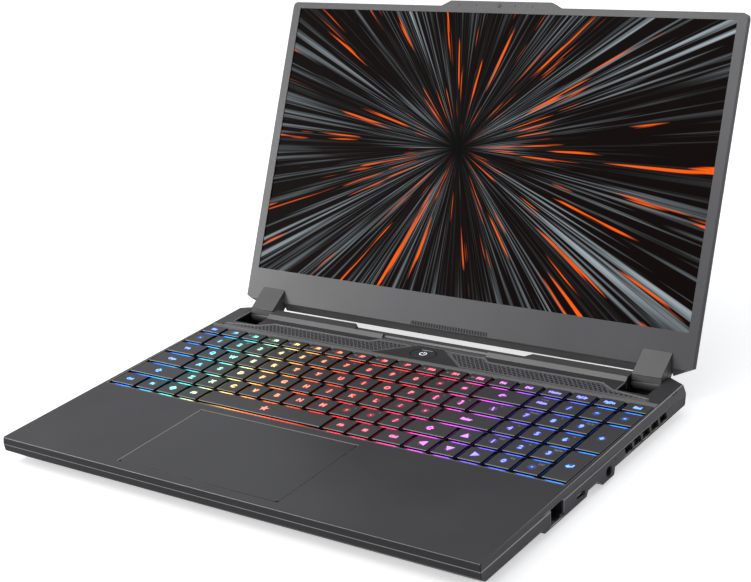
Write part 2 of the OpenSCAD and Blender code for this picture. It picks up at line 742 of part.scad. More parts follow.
module ethernet_jack() {
    x0 = half_w - port_in;
    placed() color([0.12, 0.12, 0.13]) difference() {
        block([x0, rj_y - 6.6, rj_z - 4.95], [port_x, rj_y + 6.6, rj_z + 4.95]);
        block([x0 + 5, rj_y - 5.85, rj_z - 3.2], [half_w, rj_y + 5.85, rj_z + 4.2]);
        block([x0 + 5, rj_y - 3, rj_z - 4.3], [half_w, rj_y + 3, rj_z - 3]);
    }
}

module usb_c_port() {
    placed() color([0.6, 0.6, 0.62]) {
        difference() {
            along_x(half_w - 9, 8) stadium(usbc_y, usbc_z, 8.94, 3.26);
            along_x(half_w - 8, 8) stadium(usbc_y, usbc_z, 8.34, 2.56);
        }
        block([half_w - 8.2, usbc_y - 3.3, usbc_z - 0.35], [half_w - 2, usbc_y + 3.3, usbc_z + 0.35]);
        block([half_w - port_in - 2, usbc_y - 4.2, usbc_z - 1.2], [half_w - 8.8, usbc_y + 4.2, board_z]);
    }
}

module dc_jack() {
    placed() color([0.08, 0.08, 0.09]) difference() {
        union() {
            translate([half_w - 4, dc_y, dc_z]) rotate([0, 90, 0]) cylinder(r = 3.35, h = 3.2);
            block([half_w - 15, dc_y - 4, dc_z - 3.5], [half_w - 3.9, dc_y + 4, dc_z + 3.5]);
        }
        translate([half_w - 11, dc_y, dc_z]) rotate([0, 90, 0]) cylinder(r = 2.75, h = 12);
    }
}

module usb_a_ports() {
    x0 = -port_x;
    placed() color([0.55, 0.55, 0.58]) for (y = usba_y) {
        difference() {
            block([x0, y - 6.7, usba_z - 3.25], [x0 + port_in, y + 6.7, usba_z + 3.25]);
            block([x0 - 1, y - 6.2, usba_z - 2.6], [x0 + 13, y + 6.2, usba_z + 2.6]);
        }
        block([x0 + 1, y - 5.5, usba_z + 0.5], [x0 + 13.2, y + 5.5, usba_z + 2.1]);
    }
}

module hdmi_port() {
    x0 = -port_x;
    placed() color([0.55, 0.55, 0.58]) {
        difference() {
            block([x0, hdmi_y - 7.4, hdmi_z - 2.45], [x0 + port_in, hdmi_y + 7.4, hdmi_z + 2.45]);
            block([x0 - 1, hdmi_y - 6.9, hdmi_z - 2], [x0 + 11, hdmi_y + 6.9, hdmi_z + 2]);
        }
        block([x0 + 1, hdmi_y - 5, hdmi_z - 0.5], [x0 + 11.2, hdmi_y + 5, hdmi_z + 0.5]);
    }
}

module audio_jack() {
    x0 = -port_x;
    placed() color([0.08, 0.08, 0.09]) difference() {
        union() {
            translate([x0, audio_y, audio_z]) rotate([0, 90, 0]) cylinder(r = 2.95, h = 4);
            block([x0 + 2.9, audio_y - 3.2, audio_z - 2.9], [x0 + 15, audio_y + 3.2, audio_z + 2.9]);
        }
        translate([x0 - 1, audio_y, audio_z]) rotate([0, 90, 0]) cylinder(r = 1.78, h = 13);
    }
}

// Inner face of the bottom cover's sloping rear wall, at height z
function cover_rear(z) = base_d - 1 - cover_wall - 7.5 * (wall_z - 0.2 - z) / (wall_z - 0.2 - floor_z);

// Cast channel that each arm swings in, with a cheek on either side to hold the pin
module hinge_mount(side) {
    inner = arm_x - pocket_w / 2;
    outer = arm_x + pocket_w / 2;
    low = pocket_z - 1.2;
    y1 = min(base_d - 6, cover_rear(low) - 0.3);
    placed() color([0.06, 0.06, 0.07]) scale([side, 1, 1]) difference() {
        union() {
            block([inner - cheek_t, pocket_y - cheek_t, low], [outer + cheek_t, y1, pocket_z]);
            block([inner - cheek_t, pocket_y - cheek_t, low], [outer + cheek_t, pocket_y, -deck_t - hair]);
            along_x(outer, cheek_t)
                polygon([[pocket_y - cheek_t, low], [y1, low], [base_d - 3.2, -7],
                    [base_d - 3.2, -deck_t - hair], [pocket_y - cheek_t, -deck_t - hair]]);
            along_x(inner - cheek_t, cheek_t)
                polygon([[pocket_y - cheek_t, low], [y1, low], [base_d - 2.4, -7], [base_d - 2.4, -5.4],
                    [base_d - 6.9, 0.6], [bar_y + 3.6, 0.6], [bar_y + 1.5, -1.2], [bar_y + 1.5, -6],
                    [bar_y - 0.2, -6], [bar_y - 0.2, -deck_t - hair], [pocket_y - cheek_t, -deck_t - hair]]);
        }
        translate([inner - 5, axis_y, -axis_drop]) rotate([0, 90, 0])
            cylinder(r = pin_r + eps, h = pocket_w + 10);
    }
}

module hinge_pins() {
    inner = arm_x - pocket_w / 2;
    placed() color([0.7, 0.7, 0.72]) both_sides() translate([inner - cheek_t, axis_y, -axis_drop])
        rotate([0, 90, 0]) cylinder(r = pin_r, h = pocket_w + 2 * cheek_t);
}

// Outline of the lid with its camera hump, shrunk by s; low raises the bottom edge
module lid_outline(s, low, hump) {
    c = 3;
    side = [[lid_half - s, crease_v + 2 + low], [lid_half - s, lid_top - s - c],
        [lid_half - s - c * 0.3, lid_top - s - c * 0.3], [lid_half - s - c, lid_top - s]];
    hump_x = hump_w / 2 - s * 0.6;
    top = hump ? [[hump_x, lid_top - s], [hump_x - 7.5, lid_top + hump_h - s]] : [];
    half = concat([[ear_x - 2, tail_v + low]], side, top);
    polygon(concat(half, [for (i = [len(half) - 1:-1:0]) [-half[i][0], half[i][1]]]));
}

// Sloping underside of the chin, and the notches that the arms pass through
module tail_cuts() {
    along_x(-big / 2, big)
        polygon([[crease_v, bezel_z + eps], [tail_v, back_z], [tail_v - 1, back_z - 1],
            [tail_v - 4, back_z - 1], [tail_v - 4, bezel_z + 1], [crease_v, bezel_z + 1]]);
    both_sides() block([arm_x - arm_w / 2 - 0.2, tail_v - 3, back_z - 1],
        [arm_x + arm_w / 2 + 0.2, notch_v, bezel_z + 1]);
}

module lid_cover() {
    on_lid() color([0.2, 0.2, 0.21]) difference() {
        union() {
            hull() {
                translate([0, 0, back_z + 1.4]) linear_extrude(lid_t - 1.4 - bezel_t) lid_outline(0, 0, false);
                translate([0, 0, back_z]) linear_extrude(1) lid_outline(1.5, 0, false);
            }
            translate([0, 0, back_z]) linear_extrude(lid_t - bezel_t) intersection() {
                lid_outline(0, 0, true);
                translate([-hump_w, lid_top - 4]) square([2 * hump_w, 20]);
            }
        }
        difference() {
            translate([0, 0, back_z + skin]) linear_extrude(lid_t) lid_outline(skin, 10, true);
            block([-big, 0, back_z], [big, notch_v + 1.6, 0]);
        }
        tail_cuts();
    }
}

module lid_bezel() {
    on_lid() color([0.25, 0.25, 0.26]) difference() {
        translate([0, 0, bezel_z - bezel_t]) linear_extrude(bezel_t) difference() {
            lid_outline(0, 0, true);
            translate([-screen_w / 2, foot_v]) square([screen_w, screen_h]);
            translate([0, lens_v]) circle(r = lens_r + 0.1);
        }
        tail_cuts();
    }
}

module display_panel() {
    on_lid() color([0.02, 0.02, 0.03]) block([-screen_w / 2 - 2.6, foot_v - 5.5, bezel_z - bezel_t - 2.7],
        [screen_w / 2 + 2.6, foot_v + screen_h + 2.2, bezel_z - bezel_t - hair]);
}

module camera_module() {
    on_lid() color([0.03, 0.03, 0.03]) {
        block([-28, lid_top - 1.2, bezel_z - bezel_t - 2.2],
            [28, lid_top + hump_h - 2, bezel_z - bezel_t - 0.3]);
        translate([0, lens_v, bezel_z - bezel_t - 1]) cylinder(r = lens_r, h = bezel_t + 0.85);
    }
}

// Arm from the chin to the pin: a wedge on the chin, cut off square below, that runs into a round boss
module hinge_arm(side) {
    start = [wedge_v, bezel_z];
    back = [notch_v - 0.2, back_z + 0.5];
    edge = touch(start, [0, 0], nose_r, 1);         // sharp lower edge of the front face
    inside = boss_r - 0.15;       // the flats run just inside the boss, so each meets it at an edge
    under_touch = touch(edge, [0, 0], inside, 1);
    back_touch = touch(back, [0, 0], inside, -1);
    on_lid() color([0.45, 0.45, 0.45]) difference() {
        union() {
            along_x(side * arm_x - arm_w / 2, arm_w)
                polygon([start, edge, under_touch, [0, 0], back_touch, back, [notch_v - 0.2, bezel_z]]);
            translate([side * arm_x - arm_w / 2, 0, 0]) rotate([0, 90, 0]) cylinder(r = boss_r, h = arm_w);
        }
        translate([side * arm_x - arm_w, 0, 0]) rotate([0, 90, 0])
            cylinder(r = pin_r + pin_clear, h = 2 * arm_w);
    }
}

module chin_pad() {
    on_lid() color([0.12, 0.12, 0.12])
        block([-30.5, crease_v + 0.5, bezel_z], [30.5, crease_v + 3, bezel_z + 0.3]);
}

top_case();
hinge_cover();
bottom_cover();
vent_grille(-1);  // vent_grille_left
vent_grille(1);  // vent_grille_right
rubber_feet();
bottom_screws();
keyboard_plate();
motherboard();
processor();
graphics_chip();
heat_pipes();
heatsink_left();
heatsink_right();
fan_housing(-1);  // fan_housing_left
fan_housing(1);  // fan_housing_right
fan_rotor(-1);  // fan_rotor_left
fan_rotor(1);  // fan_rotor_right
battery();
memory_modules();
storage_drives();
wireless_card();
speaker(-1);  // speaker_left
speaker(1);  // speaker_right
touchpad();
touchpad_frame();
power_button();
ethernet_jack();
usb_c_port();
dc_jack();
usb_a_ports();
hdmi_port();
audio_jack();
hinge_mount(-1);  // hinge_mount_left
hinge_mount(1);  // hinge_mount_right
hinge_pins();
lid_cover();
lid_bezel();
display_panel();
camera_module();
hinge_arm(-1);  // hinge_arm_left
hinge_arm(1);  // hinge_arm_right
chin_pad();
keys(escape_key);  // key_escape
keys(space_key);  // key_space
keys(enter_key);  // key_enter
keys(backspace_key);  // key_backspace
keys(shift_left_key);  // key_shift_left
keys(shift_right_key);  // key_shift_right
keys(up_key);  // key_up
keys(down_key);  // key_down
keys(left_key);  // key_left
keys(right_key);  // key_right
keys(function_keys);  // keys_function_row
keys(number_keys);  // keys_number_row
keys(upper_keys);  // keys_upper_row
keys(home_keys);  // keys_home_row
keys(lower_keys);  // keys_lower_row
keys(bottom_keys);  // keys_bottom_row
keys(numpad_keys);  // keys_numpad
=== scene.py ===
import json
import math

import bmesh
import bpy
from mathutils import Matrix, Vector


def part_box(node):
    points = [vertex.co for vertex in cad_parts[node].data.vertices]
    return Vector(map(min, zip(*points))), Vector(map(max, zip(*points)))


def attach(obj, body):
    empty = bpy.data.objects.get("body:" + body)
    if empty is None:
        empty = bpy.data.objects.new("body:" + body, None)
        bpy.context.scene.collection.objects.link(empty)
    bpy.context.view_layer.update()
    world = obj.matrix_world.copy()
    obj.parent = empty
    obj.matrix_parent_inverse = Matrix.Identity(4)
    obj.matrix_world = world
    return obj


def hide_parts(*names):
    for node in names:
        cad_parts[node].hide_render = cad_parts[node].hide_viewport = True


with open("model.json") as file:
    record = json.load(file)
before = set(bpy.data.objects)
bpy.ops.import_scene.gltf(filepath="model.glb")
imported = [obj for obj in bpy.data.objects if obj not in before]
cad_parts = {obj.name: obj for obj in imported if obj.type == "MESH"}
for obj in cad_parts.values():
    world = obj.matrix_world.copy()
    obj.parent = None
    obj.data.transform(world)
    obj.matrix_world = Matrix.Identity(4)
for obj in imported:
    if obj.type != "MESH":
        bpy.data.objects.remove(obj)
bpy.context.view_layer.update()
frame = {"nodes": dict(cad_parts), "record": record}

mm = 0.001
nodes = frame["nodes"]
deckLow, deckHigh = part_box("top_case")
frontY = deckLow.y           # front edge of the deck
deckZ = deckHigh.z           # top of the deck


def spot(x, y, z):
    # millimetres from the deck's front edge and top, to metres
    return Vector((x * mm, frontY + y * mm, deckZ + z * mm))


# the axis that the lid turns on, and the angle of the open lid above the desk
lidHinge = {"y": 232.4, "z": -3.6, "lean": math.radians(63.6)}


def lidSpot(x, y, z):
    # millimetres on the lid: across, up from the hinge axis, out of its front
    place = Matrix.Rotation(lidHinge["lean"], 3, "X") @ Vector((x, y, z))
    return spot(0, lidHinge["y"], lidHinge["z"]) + place * mm


# small helpers

def linearColour(text, alpha=1.0):
    channels = [int(text[i:i + 2], 16) / 255 for i in (1, 3, 5)]
    bright = [c / 12.92 if c <= 0.04045 else ((c + 0.055) / 1.055) ** 2.4 for c in channels]
    return (*bright, alpha)


def addNode(tree, kind, inputs=None, **settings):
    node = tree.nodes.new(kind)
    for name, value in settings.items():
        setattr(node, name, value)
    for key, value in (inputs or {}).items():
        if isinstance(value, bpy.types.NodeSocket):
            tree.links.new(value, node.inputs[key])
        else:
            node.inputs[key].default_value = value
    return node


def calculate(tree, operation, *values):
    return addNode(tree, "ShaderNodeMath", dict(enumerate(values)), operation=operation).outputs[0]


def mapRange(tree, value, low, high, newLow=0.0, newHigh=1.0, smooth=False):
    # low to high in the value becomes newLow to newHigh
    limits = {"From Min": low, "From Max": high, "To Min": newLow, "To Max": newHigh}
    return addNode(tree, "ShaderNodeMapRange", {"Value": value, **limits},
                   interpolation_type="SMOOTHERSTEP" if smooth else "LINEAR").outputs[0]


def mixColours(tree, share, first, second):
    return addNode(tree, "ShaderNodeMix", {0: share, 6: first, 7: second},
                   data_type="RGBA").outputs[2]


def newMaterial(name):
    material = bpy.data.materials.new(name)
    material.use_nodes = True
    return material, material.node_tree, material.node_tree.nodes["Principled BSDF"]


def selectOnly(*pieces):
    bpy.ops.object.select_all(action="DESELECT")
    for piece in pieces:
        piece.select_set(True)
    bpy.context.view_layer.objects.active = pieces[0]


def editMesh(piece, work):
    # runs work(bmesh) in edit mode with nothing selected
    selectOnly(piece)
    bpy.ops.object.mode_set(mode="EDIT")
    bpy.ops.mesh.select_all(action="DESELECT")
    work(bmesh.from_edit_mesh(piece.data))
    bpy.ops.object.mode_set(mode="OBJECT")


def settle(piece):
    # the place goes into the mesh, and the object stays at the origin
    selectOnly(piece)
    bpy.ops.object.transform_apply(location=True, rotation=True, scale=True)


def bevelEdges(piece, width):
    # the faces stay flat and the narrow bevels carry the bright edge line
    selectOnly(piece)
    bpy.ops.object.shade_smooth()
    edge = piece.modifiers.new("edge", "BEVEL")
    edge.width = width
    edge.segments = 1
    edge.limit_method = "ANGLE"
    edge.angle_limit = math.radians(32)
    edge.harden_normals = True
    bpy.ops.object.modifier_apply(modifier="edge")


def joinPieces(pieces, name):
    selectOnly(*pieces)
    if len(pieces) > 1:
        bpy.ops.object.join()
    whole = bpy.context.view_layer.objects.active
    whole.name = name
    whole.data.name = name
    return whole


def setMaterials(piece, *materials):
    piece.data.materials.clear()
    for material in materials:
        piece.data.materials.append(material)


def addShape(shape, name):
    # the finished bmesh becomes a new object
    data = bpy.data.meshes.new(name)
    shape.to_mesh(data)
    shape.free()
    piece = bpy.data.objects.new(name, data)
    bpy.context.scene.collection.objects.link(piece)
    return piece


# camera

cameraSetup = {
    "place": (0.6055, -0.7622, 0.4463),
    "turn": (70.335, 7.057, 37.596),
    "lens": 79.09,
    "shift": (0.0593, -0.0395),
}

bpy.ops.object.camera_add(location=cameraSetup["place"],
                          rotation=[math.radians(a) for a in cameraSetup["turn"]])
camera = bpy.context.active_object
camera.data.lens = cameraSetup["lens"]
camera.data.shift_x, camera.data.shift_y = cameraSetup["shift"]
bpy.context.scene.camera = camera
bpy.context.scene.view_settings.view_transform = "Standard"
print("camera ready")


# studio

studio = {
    "worldColour": "#f4f6fa",
    "worldStrength": 0.55,
    "mirroredWhite": 0.35,      # how much of the white backdrop shows in glossy surfaces
    "floorSize": 12,
    "floorColour": "#e9e9ea",
    "floorLift": 0.5,           # how much of the floor's white is its own
}
# each light: where it hangs, what it points at, its width and height, and its power
softboxes = {
    "softboxHigh": ((-0.95, -1.2, 1.75), (0.05, 0.05, 0.0), (0.8, 0.8), 15),
    "softboxLeft": ((-2.05, -1.35, 0.78), (-0.1, 0.1, 0.1), (0.7, 0.9), 24),
    "softboxTop": ((0.2, -0.2, 1.9), (0, 0, 0), (1.6, 1.6), 7),
    "softboxRear": ((0.9, 1.4, 0.9), (0, 0, 0.1), (0.8, 0.8), 6),
}


def buildWorld():
    world = bpy.data.worlds.new("studioAir")
    bpy.context.scene.world = world
    world.use_nodes = True
    tree = world.node_tree
    tree.nodes.clear()
    rays = addNode(tree, "ShaderNodeLightPath")
    direct = calculate(tree, "MAXIMUM", rays.outputs["Is Camera Ray"],
                       rays.outputs["Is Transmission Ray"])
    glossy = calculate(tree, "MULTIPLY", rays.outputs["Is Glossy Ray"], studio["mirroredWhite"])
    share = calculate(tree, "MAXIMUM", direct, glossy)
    soft = addNode(tree, "ShaderNodeBackground", {"Color": linearColour(studio["worldColour"]),
                                                  "Strength": studio["worldStrength"]})
    white = addNode(tree, "ShaderNodeBackground", {"Color": linearColour("#ffffff"),
                                                   "Strength": 1.0})
    mixed = addNode(tree, "ShaderNodeMixShader", {0: share, 1: soft.outputs[0],
                                                  2: white.outputs[0]})
    addNode(tree, "ShaderNodeOutputWorld", {"Surface": mixed.outputs[0]})


def buildFloor():
    bpy.ops.mesh.primitive_plane_add(size=studio["floorSize"], location=(0, 0, 0))
    floor = bpy.context.active_object
    floor.name = "floor"
    material = bpy.data.materials.new("paleBoard")
    material.use_nodes = True
    tree = material.node_tree
    tree.nodes.clear()
    rays = addNode(tree, "ShaderNodeLightPath")
    own = calculate(tree, "MULTIPLY", rays.outputs["Is Camera Ray"], studio["floorLift"])
    board = addNode(tree, "ShaderNodeBsdfDiffuse", {"Color": linearColour(studio["floorColour"])})
    glow = addNode(tree, "ShaderNodeEmission", {"Color": linearColour("#ffffff"), "Strength": own})
    both = addNode(tree, "ShaderNodeAddShader", {0: board.outputs[0], 1: glow.outputs[0]})
    # seen from below the board lets the view through to the underside
    side = addNode(tree, "ShaderNodeNewGeometry")
    fromBelow = calculate(tree, "MULTIPLY", rays.outputs["Is Camera Ray"],
                          side.outputs["Backfacing"])
    clear = addNode(tree, "ShaderNodeBsdfTransparent")
    shown = addNode(tree, "ShaderNodeMixShader", {0: fromBelow, 1: both.outputs[0],
                                                  2: clear.outputs[0]})
    addNode(tree, "ShaderNodeOutputMaterial", {"Surface": shown.outputs[0]})
    floor.data.materials.append(material)


def addSoftbox(name, place, target, size, power):
    bpy.ops.object.light_add(type="AREA", location=place)
    lamp = bpy.context.active_object
    lamp.name = name
    lamp.data.shape = "RECTANGLE"
    lamp.data.size, lamp.data.size_y = size
    lamp.data.energy = power
    lamp.rotation_euler = (Vector(target) - Vector(place)).to_track_quat("-Z", "Y").to_euler()


buildWorld()
buildFloor()
for name, setting in softboxes.items():
    addSoftbox(name, *setting)
print("studio ready")


# finishes

# what a finish has unless its own look says otherwise; grain and cloud are in millimetres
plainLook = {"stretch": (1, 1, 1), "cloud": 60, "roughSpread": 0.05, "bump": 0.15,
             "metal": 0.0, "specular": 0.5, "coatRough": 0.2}


def makeFinish(name, look):
    # every finish: colour with a fine grain, roughness with the same grain, and a bump
    look = {**plainLook, **look}
    material, tree, shader = newMaterial(name)
    place = addNode(tree, "ShaderNodeTexCoord")
    stretch = addNode(tree, "ShaderNodeMapping", {"Vector": place.outputs["Object"],
                                                  "Scale": look["stretch"]})
    grain = addNode(tree, "ShaderNodeTexNoise", {
        "Vector": stretch.outputs[0], "Scale": 1 / (look["grain"] * mm), "Detail": 3.0,
        "Roughness": 0.6})
    cloud = addNode(tree, "ShaderNodeTexNoise", {
        "Vector": place.outputs["Object"], "Scale": 1 / (look["cloud"] * mm), "Detail": 2.0})
    blend = calculate(tree, "ADD", grain.outputs["Fac"], cloud.outputs["Fac"])
    ramp = addNode(tree, "ShaderNodeValToRGB", {"Fac": mapRange(tree, blend, 0.7, 1.3)})
    ramp.color_ramp.elements[0].color = linearColour(look["dark"])
    ramp.color_ramp.elements[1].color = linearColour(look["light"])
    rough = mapRange(tree, grain.outputs["Fac"], 0.3, 0.7, look["rough"] - look["roughSpread"],
                     look["rough"] + look["roughSpread"])
    bump = addNode(tree, "ShaderNodeBump", {"Height": grain.outputs["Fac"],
                                            "Strength": look["bump"],
                                            "Distance": look["grain"] * mm * 0.3})
    tree.links.new(ramp.outputs["Color"], shader.inputs["Base Color"])
    tree.links.new(rough, shader.inputs["Roughness"])
    tree.links.new(bump.outputs[0], shader.inputs["Normal"])
    shader.inputs["Metallic"].default_value = look["metal"]
    shader.inputs["Specular IOR Level"].default_value = look["specular"]
    if "ior" in look:
        shader.inputs["IOR"].default_value = look["ior"]
    if "coat" in look:
        shader.inputs["Coat Weight"].default_value = look["coat"]
        shader.inputs["Coat Roughness"].default_value = look["coatRough"]
    return material


finishes = {
    # sprayed satin paint on aluminium: metal flake gives a fine sparkle
    "satinPaint": makeFinish("satinPaintedAluminium", {
        "dark": "#383739", "light": "#454446", "rough": 0.42, "grain": 0.35, "bump": 0.12,
        "metal": 0.35, "specular": 0.4}),
    "lidPaint": makeFinish("satinPaintedLidAluminium", {
        "dark": "#39383a", "light": "#454446", "rough": 0.4, "grain": 0.35, "bump": 0.12,
        "metal": 0.35, "specular": 0.4}),
    # moulded ABS with a spark-eroded texture
    "mouldedAbs": makeFinish("mouldedAbs", {
        "dark": "#3d3d3e", "light": "#484849", "rough": 0.5, "grain": 0.4, "bump": 0.2,
        "ior": 1.5}),
    "bottomAbs": makeFinish("mouldedBlackAbs", {
        "dark": "#1d1d1e", "light": "#262627", "rough": 0.55, "grain": 0.5, "bump": 0.25,
        "ior": 1.5}),
    "bezelAbs": makeFinish("mouldedBezelAbs", {
        "dark": "#3e3d3f", "light": "#4b4a4c", "rough": 0.36, "grain": 0.4, "bump": 0.15,
        "ior": 1.5}),
    "blackAbs": makeFinish("blackMouldedPlastic", {
        "dark": "#141415", "light": "#1d1d1e", "rough": 0.5, "grain": 0.4, "bump": 0.15,
        "ior": 1.5}),
    "rubber": makeFinish("siliconeRubber", {
        "dark": "#161616", "light": "#202020", "rough": 0.8, "grain": 0.3, "bump": 0.3,
        "ior": 1.45}),
    "blackSteel": makeFinish("blackenedSteel", {
        "dark": "#1c1c1d", "light": "#2a2a2b", "rough": 0.35, "grain": 0.2, "metal": 1.0}),
    "plateSteel": makeFinish("blackCoatedSteel", {
        "dark": "#0b0b0d", "light": "#131315", "rough": 0.5, "grain": 0.3, "metal": 0.0,
        "ior": 1.5}),
    "board": makeFinish("solderMask", {
        "dark": "#0e3320", "light": "#1a5233", "rough": 0.35, "grain": 2.2, "bump": 0.3,
        "ior": 1.5}),
    "silicon": makeFinish("polishedSilicon", {
        "dark": "#6a6c70", "light": "#8b8e94", "rough": 0.12, "grain": 1.0, "metal": 0.9}),
    "copper": makeFinish("dulledCopper", {
        "dark": "#a3613c", "light": "#c07c52", "rough": 0.32, "grain": 1.2, "metal": 1.0}),
    "fins": makeFinish("stampedAluminium", {
        "dark": "#a9abae", "light": "#c3c5c8", "rough": 0.3, "grain": 0.6, "metal": 1.0,
        "stretch": (1, 12, 1)}),
    "cellWrap": makeFinish("pouchCellFilm", {
        "dark": "#17171a", "light": "#232326", "rough": 0.38, "grain": 2.5, "bump": 0.25,
        "ior": 1.5}),
    "touchGlass": makeFinish("etchedTouchGlass", {
        "dark": "#2e2e31", "light": "#343437", "rough": 0.36, "grain": 0.25, "bump": 0.04,
        "ior": 1.5,
        "specular": 0.4}),
    "stampedSteel": makeFinish("stampedSteel", {
        "dark": "#8a8a8c", "light": "#a5a5a8", "rough": 0.35, "grain": 0.6, "metal": 1.0,
        "stretch": (1, 8, 8)}),
    "tinnedSteel": makeFinish("tinnedSteelShell", {
        "dark": "#8b8c90", "light": "#b0b1b5", "rough": 0.28, "grain": 0.5, "metal": 1.0}),
    "hingeCasting": makeFinish("paintedHingeCasting", {
        "dark": "#5f5e5d", "light": "#6e6c6b", "rough": 0.38, "grain": 0.35, "bump": 0.12,
        "metal": 0.4, "specular": 0.45}),
    "blackCasting": makeFinish("blackZincCasting", {
        "dark": "#151516", "light": "#202021", "rough": 0.45, "grain": 0.8, "metal": 0.6}),
    "groundSteel": makeFinish("groundPinSteel", {
        "dark": "#a0a0a4", "light": "#c5c5c9", "rough": 0.22, "grain": 0.3, "metal": 1.0,
        "stretch": (1, 10, 10)}),
    "screenGlass": makeFinish("antiGlareGlass", {
        "dark": "#0a0a0b", "light": "#101012", "rough": 0.3, "grain": 0.2, "bump": 0.03,
        "ior": 1.5}),
    "lensGlass": makeFinish("cameraWindow", {
        "dark": "#060607", "light": "#0d0d10", "rough": 0.08, "grain": 0.5, "bump": 0.02,
        "ior": 1.52,
        "coat": 0.6, "coatRough": 0.05}),
    "keyTop": makeFinish("coatedKeycapAbs", {
        "dark": "#343335", "light": "#3d3c3e", "rough": 0.48, "grain": 0.35, "bump": 0.12,
        "ior": 1.5,
        "specular": 0.4}),
    "keySide": makeFinish("blackKeycapAbs", {
        "dark": "#020202", "light": "#040404", "rough": 0.7, "grain": 0.3, "bump": 0.1,
        "ior": 1.5, "specular": 0.1}),
    # the rounding along the front of a cap, paler than the top: a painted highlight
    "capHighlight": makeFinish("keycapPaintedHighlight", {
        "dark": "#8a898a", "light": "#9a999a", "rough": 0.32, "grain": 0.3, "bump": 0.02,
        "ior": 1.5}),
    "legendInk": makeFinish("greyPrintedLegend", {
        "dark": "#7c7a7c", "light": "#929092", "rough": 0.5, "grain": 0.2, "bump": 0.05,
        "ior": 1.5}),
    # the bars of the vent wings, paler than the cover behind them: painted light
    "litVentBarsCoat": makeFinish("greyBarsPaintedLight", {
        "dark": "#5c5b5d", "light": "#6a696b", "rough": 0.5, "grain": 0.3, "bump": 0.05,
        "ior": 1.5}),
    # a painted highlight along the edges of the case, paler than the paint beside it
    "edgeHighlightCoat": makeFinish("paintedEdgeHighlight", {
        "dark": "#868584", "light": "#949392", "rough": 0.35, "grain": 0.3, "bump": 0.02,
        "metal": 0.35, "specular": 0.5}),
    # painted shade on the front face and painted light on the strips that face forwards, as darker
    # and paler satin paint
    "shadedFrontCoat": makeFinish("satinPaintedShadeFront", {
        "dark": "#252426", "light": "#2e2d2f", "rough": 0.45, "grain": 0.35, "bump": 0.1,
        "metal": 0.35, "specular": 0.35}),
    "litStripCoat": makeFinish("satinPaintedLightStrips", {
        "dark": "#626160", "light": "#706f6e", "rough": 0.42, "grain": 0.35, "bump": 0.1,
        "metal": 0.3, "specular": 0.4}),
}

nodeFinish = {
    "top_case": "satinPaint", "hinge_cover": "mouldedAbs", "bottom_cover": "bottomAbs",
    "vent_grille_left": "mouldedAbs", "vent_grille_right": "mouldedAbs",
    "rubber_feet": "rubber", "bottom_screws": "blackSteel", "keyboard_plate": "plateSteel",
    "motherboard": "board", "processor": "silicon", "graphics_chip": "silicon",
    "heat_pipes": "copper", "heatsink_left": "fins", "heatsink_right": "fins",
    "fan_housing_left": "blackAbs", "fan_housing_right": "blackAbs",
    "fan_rotor_left": "blackAbs", "fan_rotor_right": "blackAbs",
    "battery": "cellWrap", "memory_modules": "board", "storage_drives": "board",
    "wireless_card": "board", "speaker_left": "blackAbs", "speaker_right": "blackAbs",
    "touchpad": "touchGlass", "touchpad_frame": "stampedSteel", "power_button": "satinPaint",
    "ethernet_jack": "blackAbs", "usb_c_port": "tinnedSteel", "dc_jack": "blackAbs",
    "usb_a_ports": "tinnedSteel", "hdmi_port": "tinnedSteel", "audio_jack": "blackAbs",
    "hinge_mount_left": "blackCasting", "hinge_mount_right": "blackCasting",
    "hinge_pins": "groundSteel", "lid_cover": "lidPaint", "lid_bezel": "bezelAbs",
    "display_panel": "screenGlass", "camera_module": "lensGlass",
    "hinge_arm_left": "hingeCasting", "hinge_arm_right": "hingeCasting", "chin_pad": "blackAbs",
}

for nodeName, node in nodes.items():
    setMaterials(node, finishes[nodeFinish.get(nodeName, "keyTop")])
print("finishes ready")


# shells with softened edges

# in millimetres and degrees: points nearer than merge join, faces within flat of each other
# join, and only edges longer than shortest that turn more than bend are rounded
shellEdges = {"merge": 0.03, "flat": 1.0, "shortest": 7.0, "bend": 5.0}


def softShell(nodeName, pieceName, body, width, highlightFinish=None, clamp=False):
    # the part itself with its long edges rounded; the rounding may have its own finish, a painted
    # highlight
    piece = bpy.data.objects.new(pieceName, nodes[nodeName].data.copy())
    bpy.context.scene.collection.objects.link(piece)
    selectOnly(piece)
    bpy.ops.mesh.customdata_custom_splitnormals_clear()
    bpy.ops.object.mode_set(mode="EDIT")
    bpy.ops.mesh.select_all(action="SELECT")
    bpy.ops.mesh.remove_doubles(threshold=shellEdges["merge"] * mm)
    bpy.ops.mesh.dissolve_limited(angle_limit=math.radians(shellEdges["flat"]))
    # flat faces with openings stay whole only as triangles
    bpy.ops.mesh.quads_convert_to_tris()
    bpy.ops.object.mode_set(mode="OBJECT")
    setMaterials(piece, finishes[nodeFinish[nodeName]])
    if highlightFinish:
        piece.data.materials.append(finishes[highlightFinish])
    bpy.ops.object.shade_smooth()
    shape = bmesh.new()
    shape.from_mesh(piece.data)
    weight = shape.edges.layers.float.new("bevel_weight_edge")
    for edge in shape.edges:
        if len(edge.link_faces) != 2:
            continue
        bent = edge.calc_face_angle() > math.radians(shellEdges["bend"])
        long = edge.calc_length() > shellEdges["shortest"] * mm
        edge[weight] = 1.0 if long and bent else 0.0
        edge.smooth = not bent
    shape.to_mesh(piece.data)
    shape.free()
    rounding = piece.modifiers.new("rounding", "BEVEL")
    rounding.width = width
    rounding.segments = 2
    rounding.limit_method = "WEIGHT"
    rounding.use_clamp_overlap = clamp
    rounding.harden_normals = True
    rounding.material = 1 if highlightFinish else -1
    bpy.ops.object.modifier_apply(modifier="rounding")
    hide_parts(nodeName)
    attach(piece, body)
    return piece


def paintLightAndShadeOn(piece, finishName, test):
    # gives the flat faces that pass the test another finish; this paints light and shade onto them
    piece.data.materials.append(finishes[finishName])
    slot = len(piece.data.materials) - 1
    for face in piece.data.polygons:
        if face.material_index == 0 and test(face.normal, face.center):
            face.material_index = slot
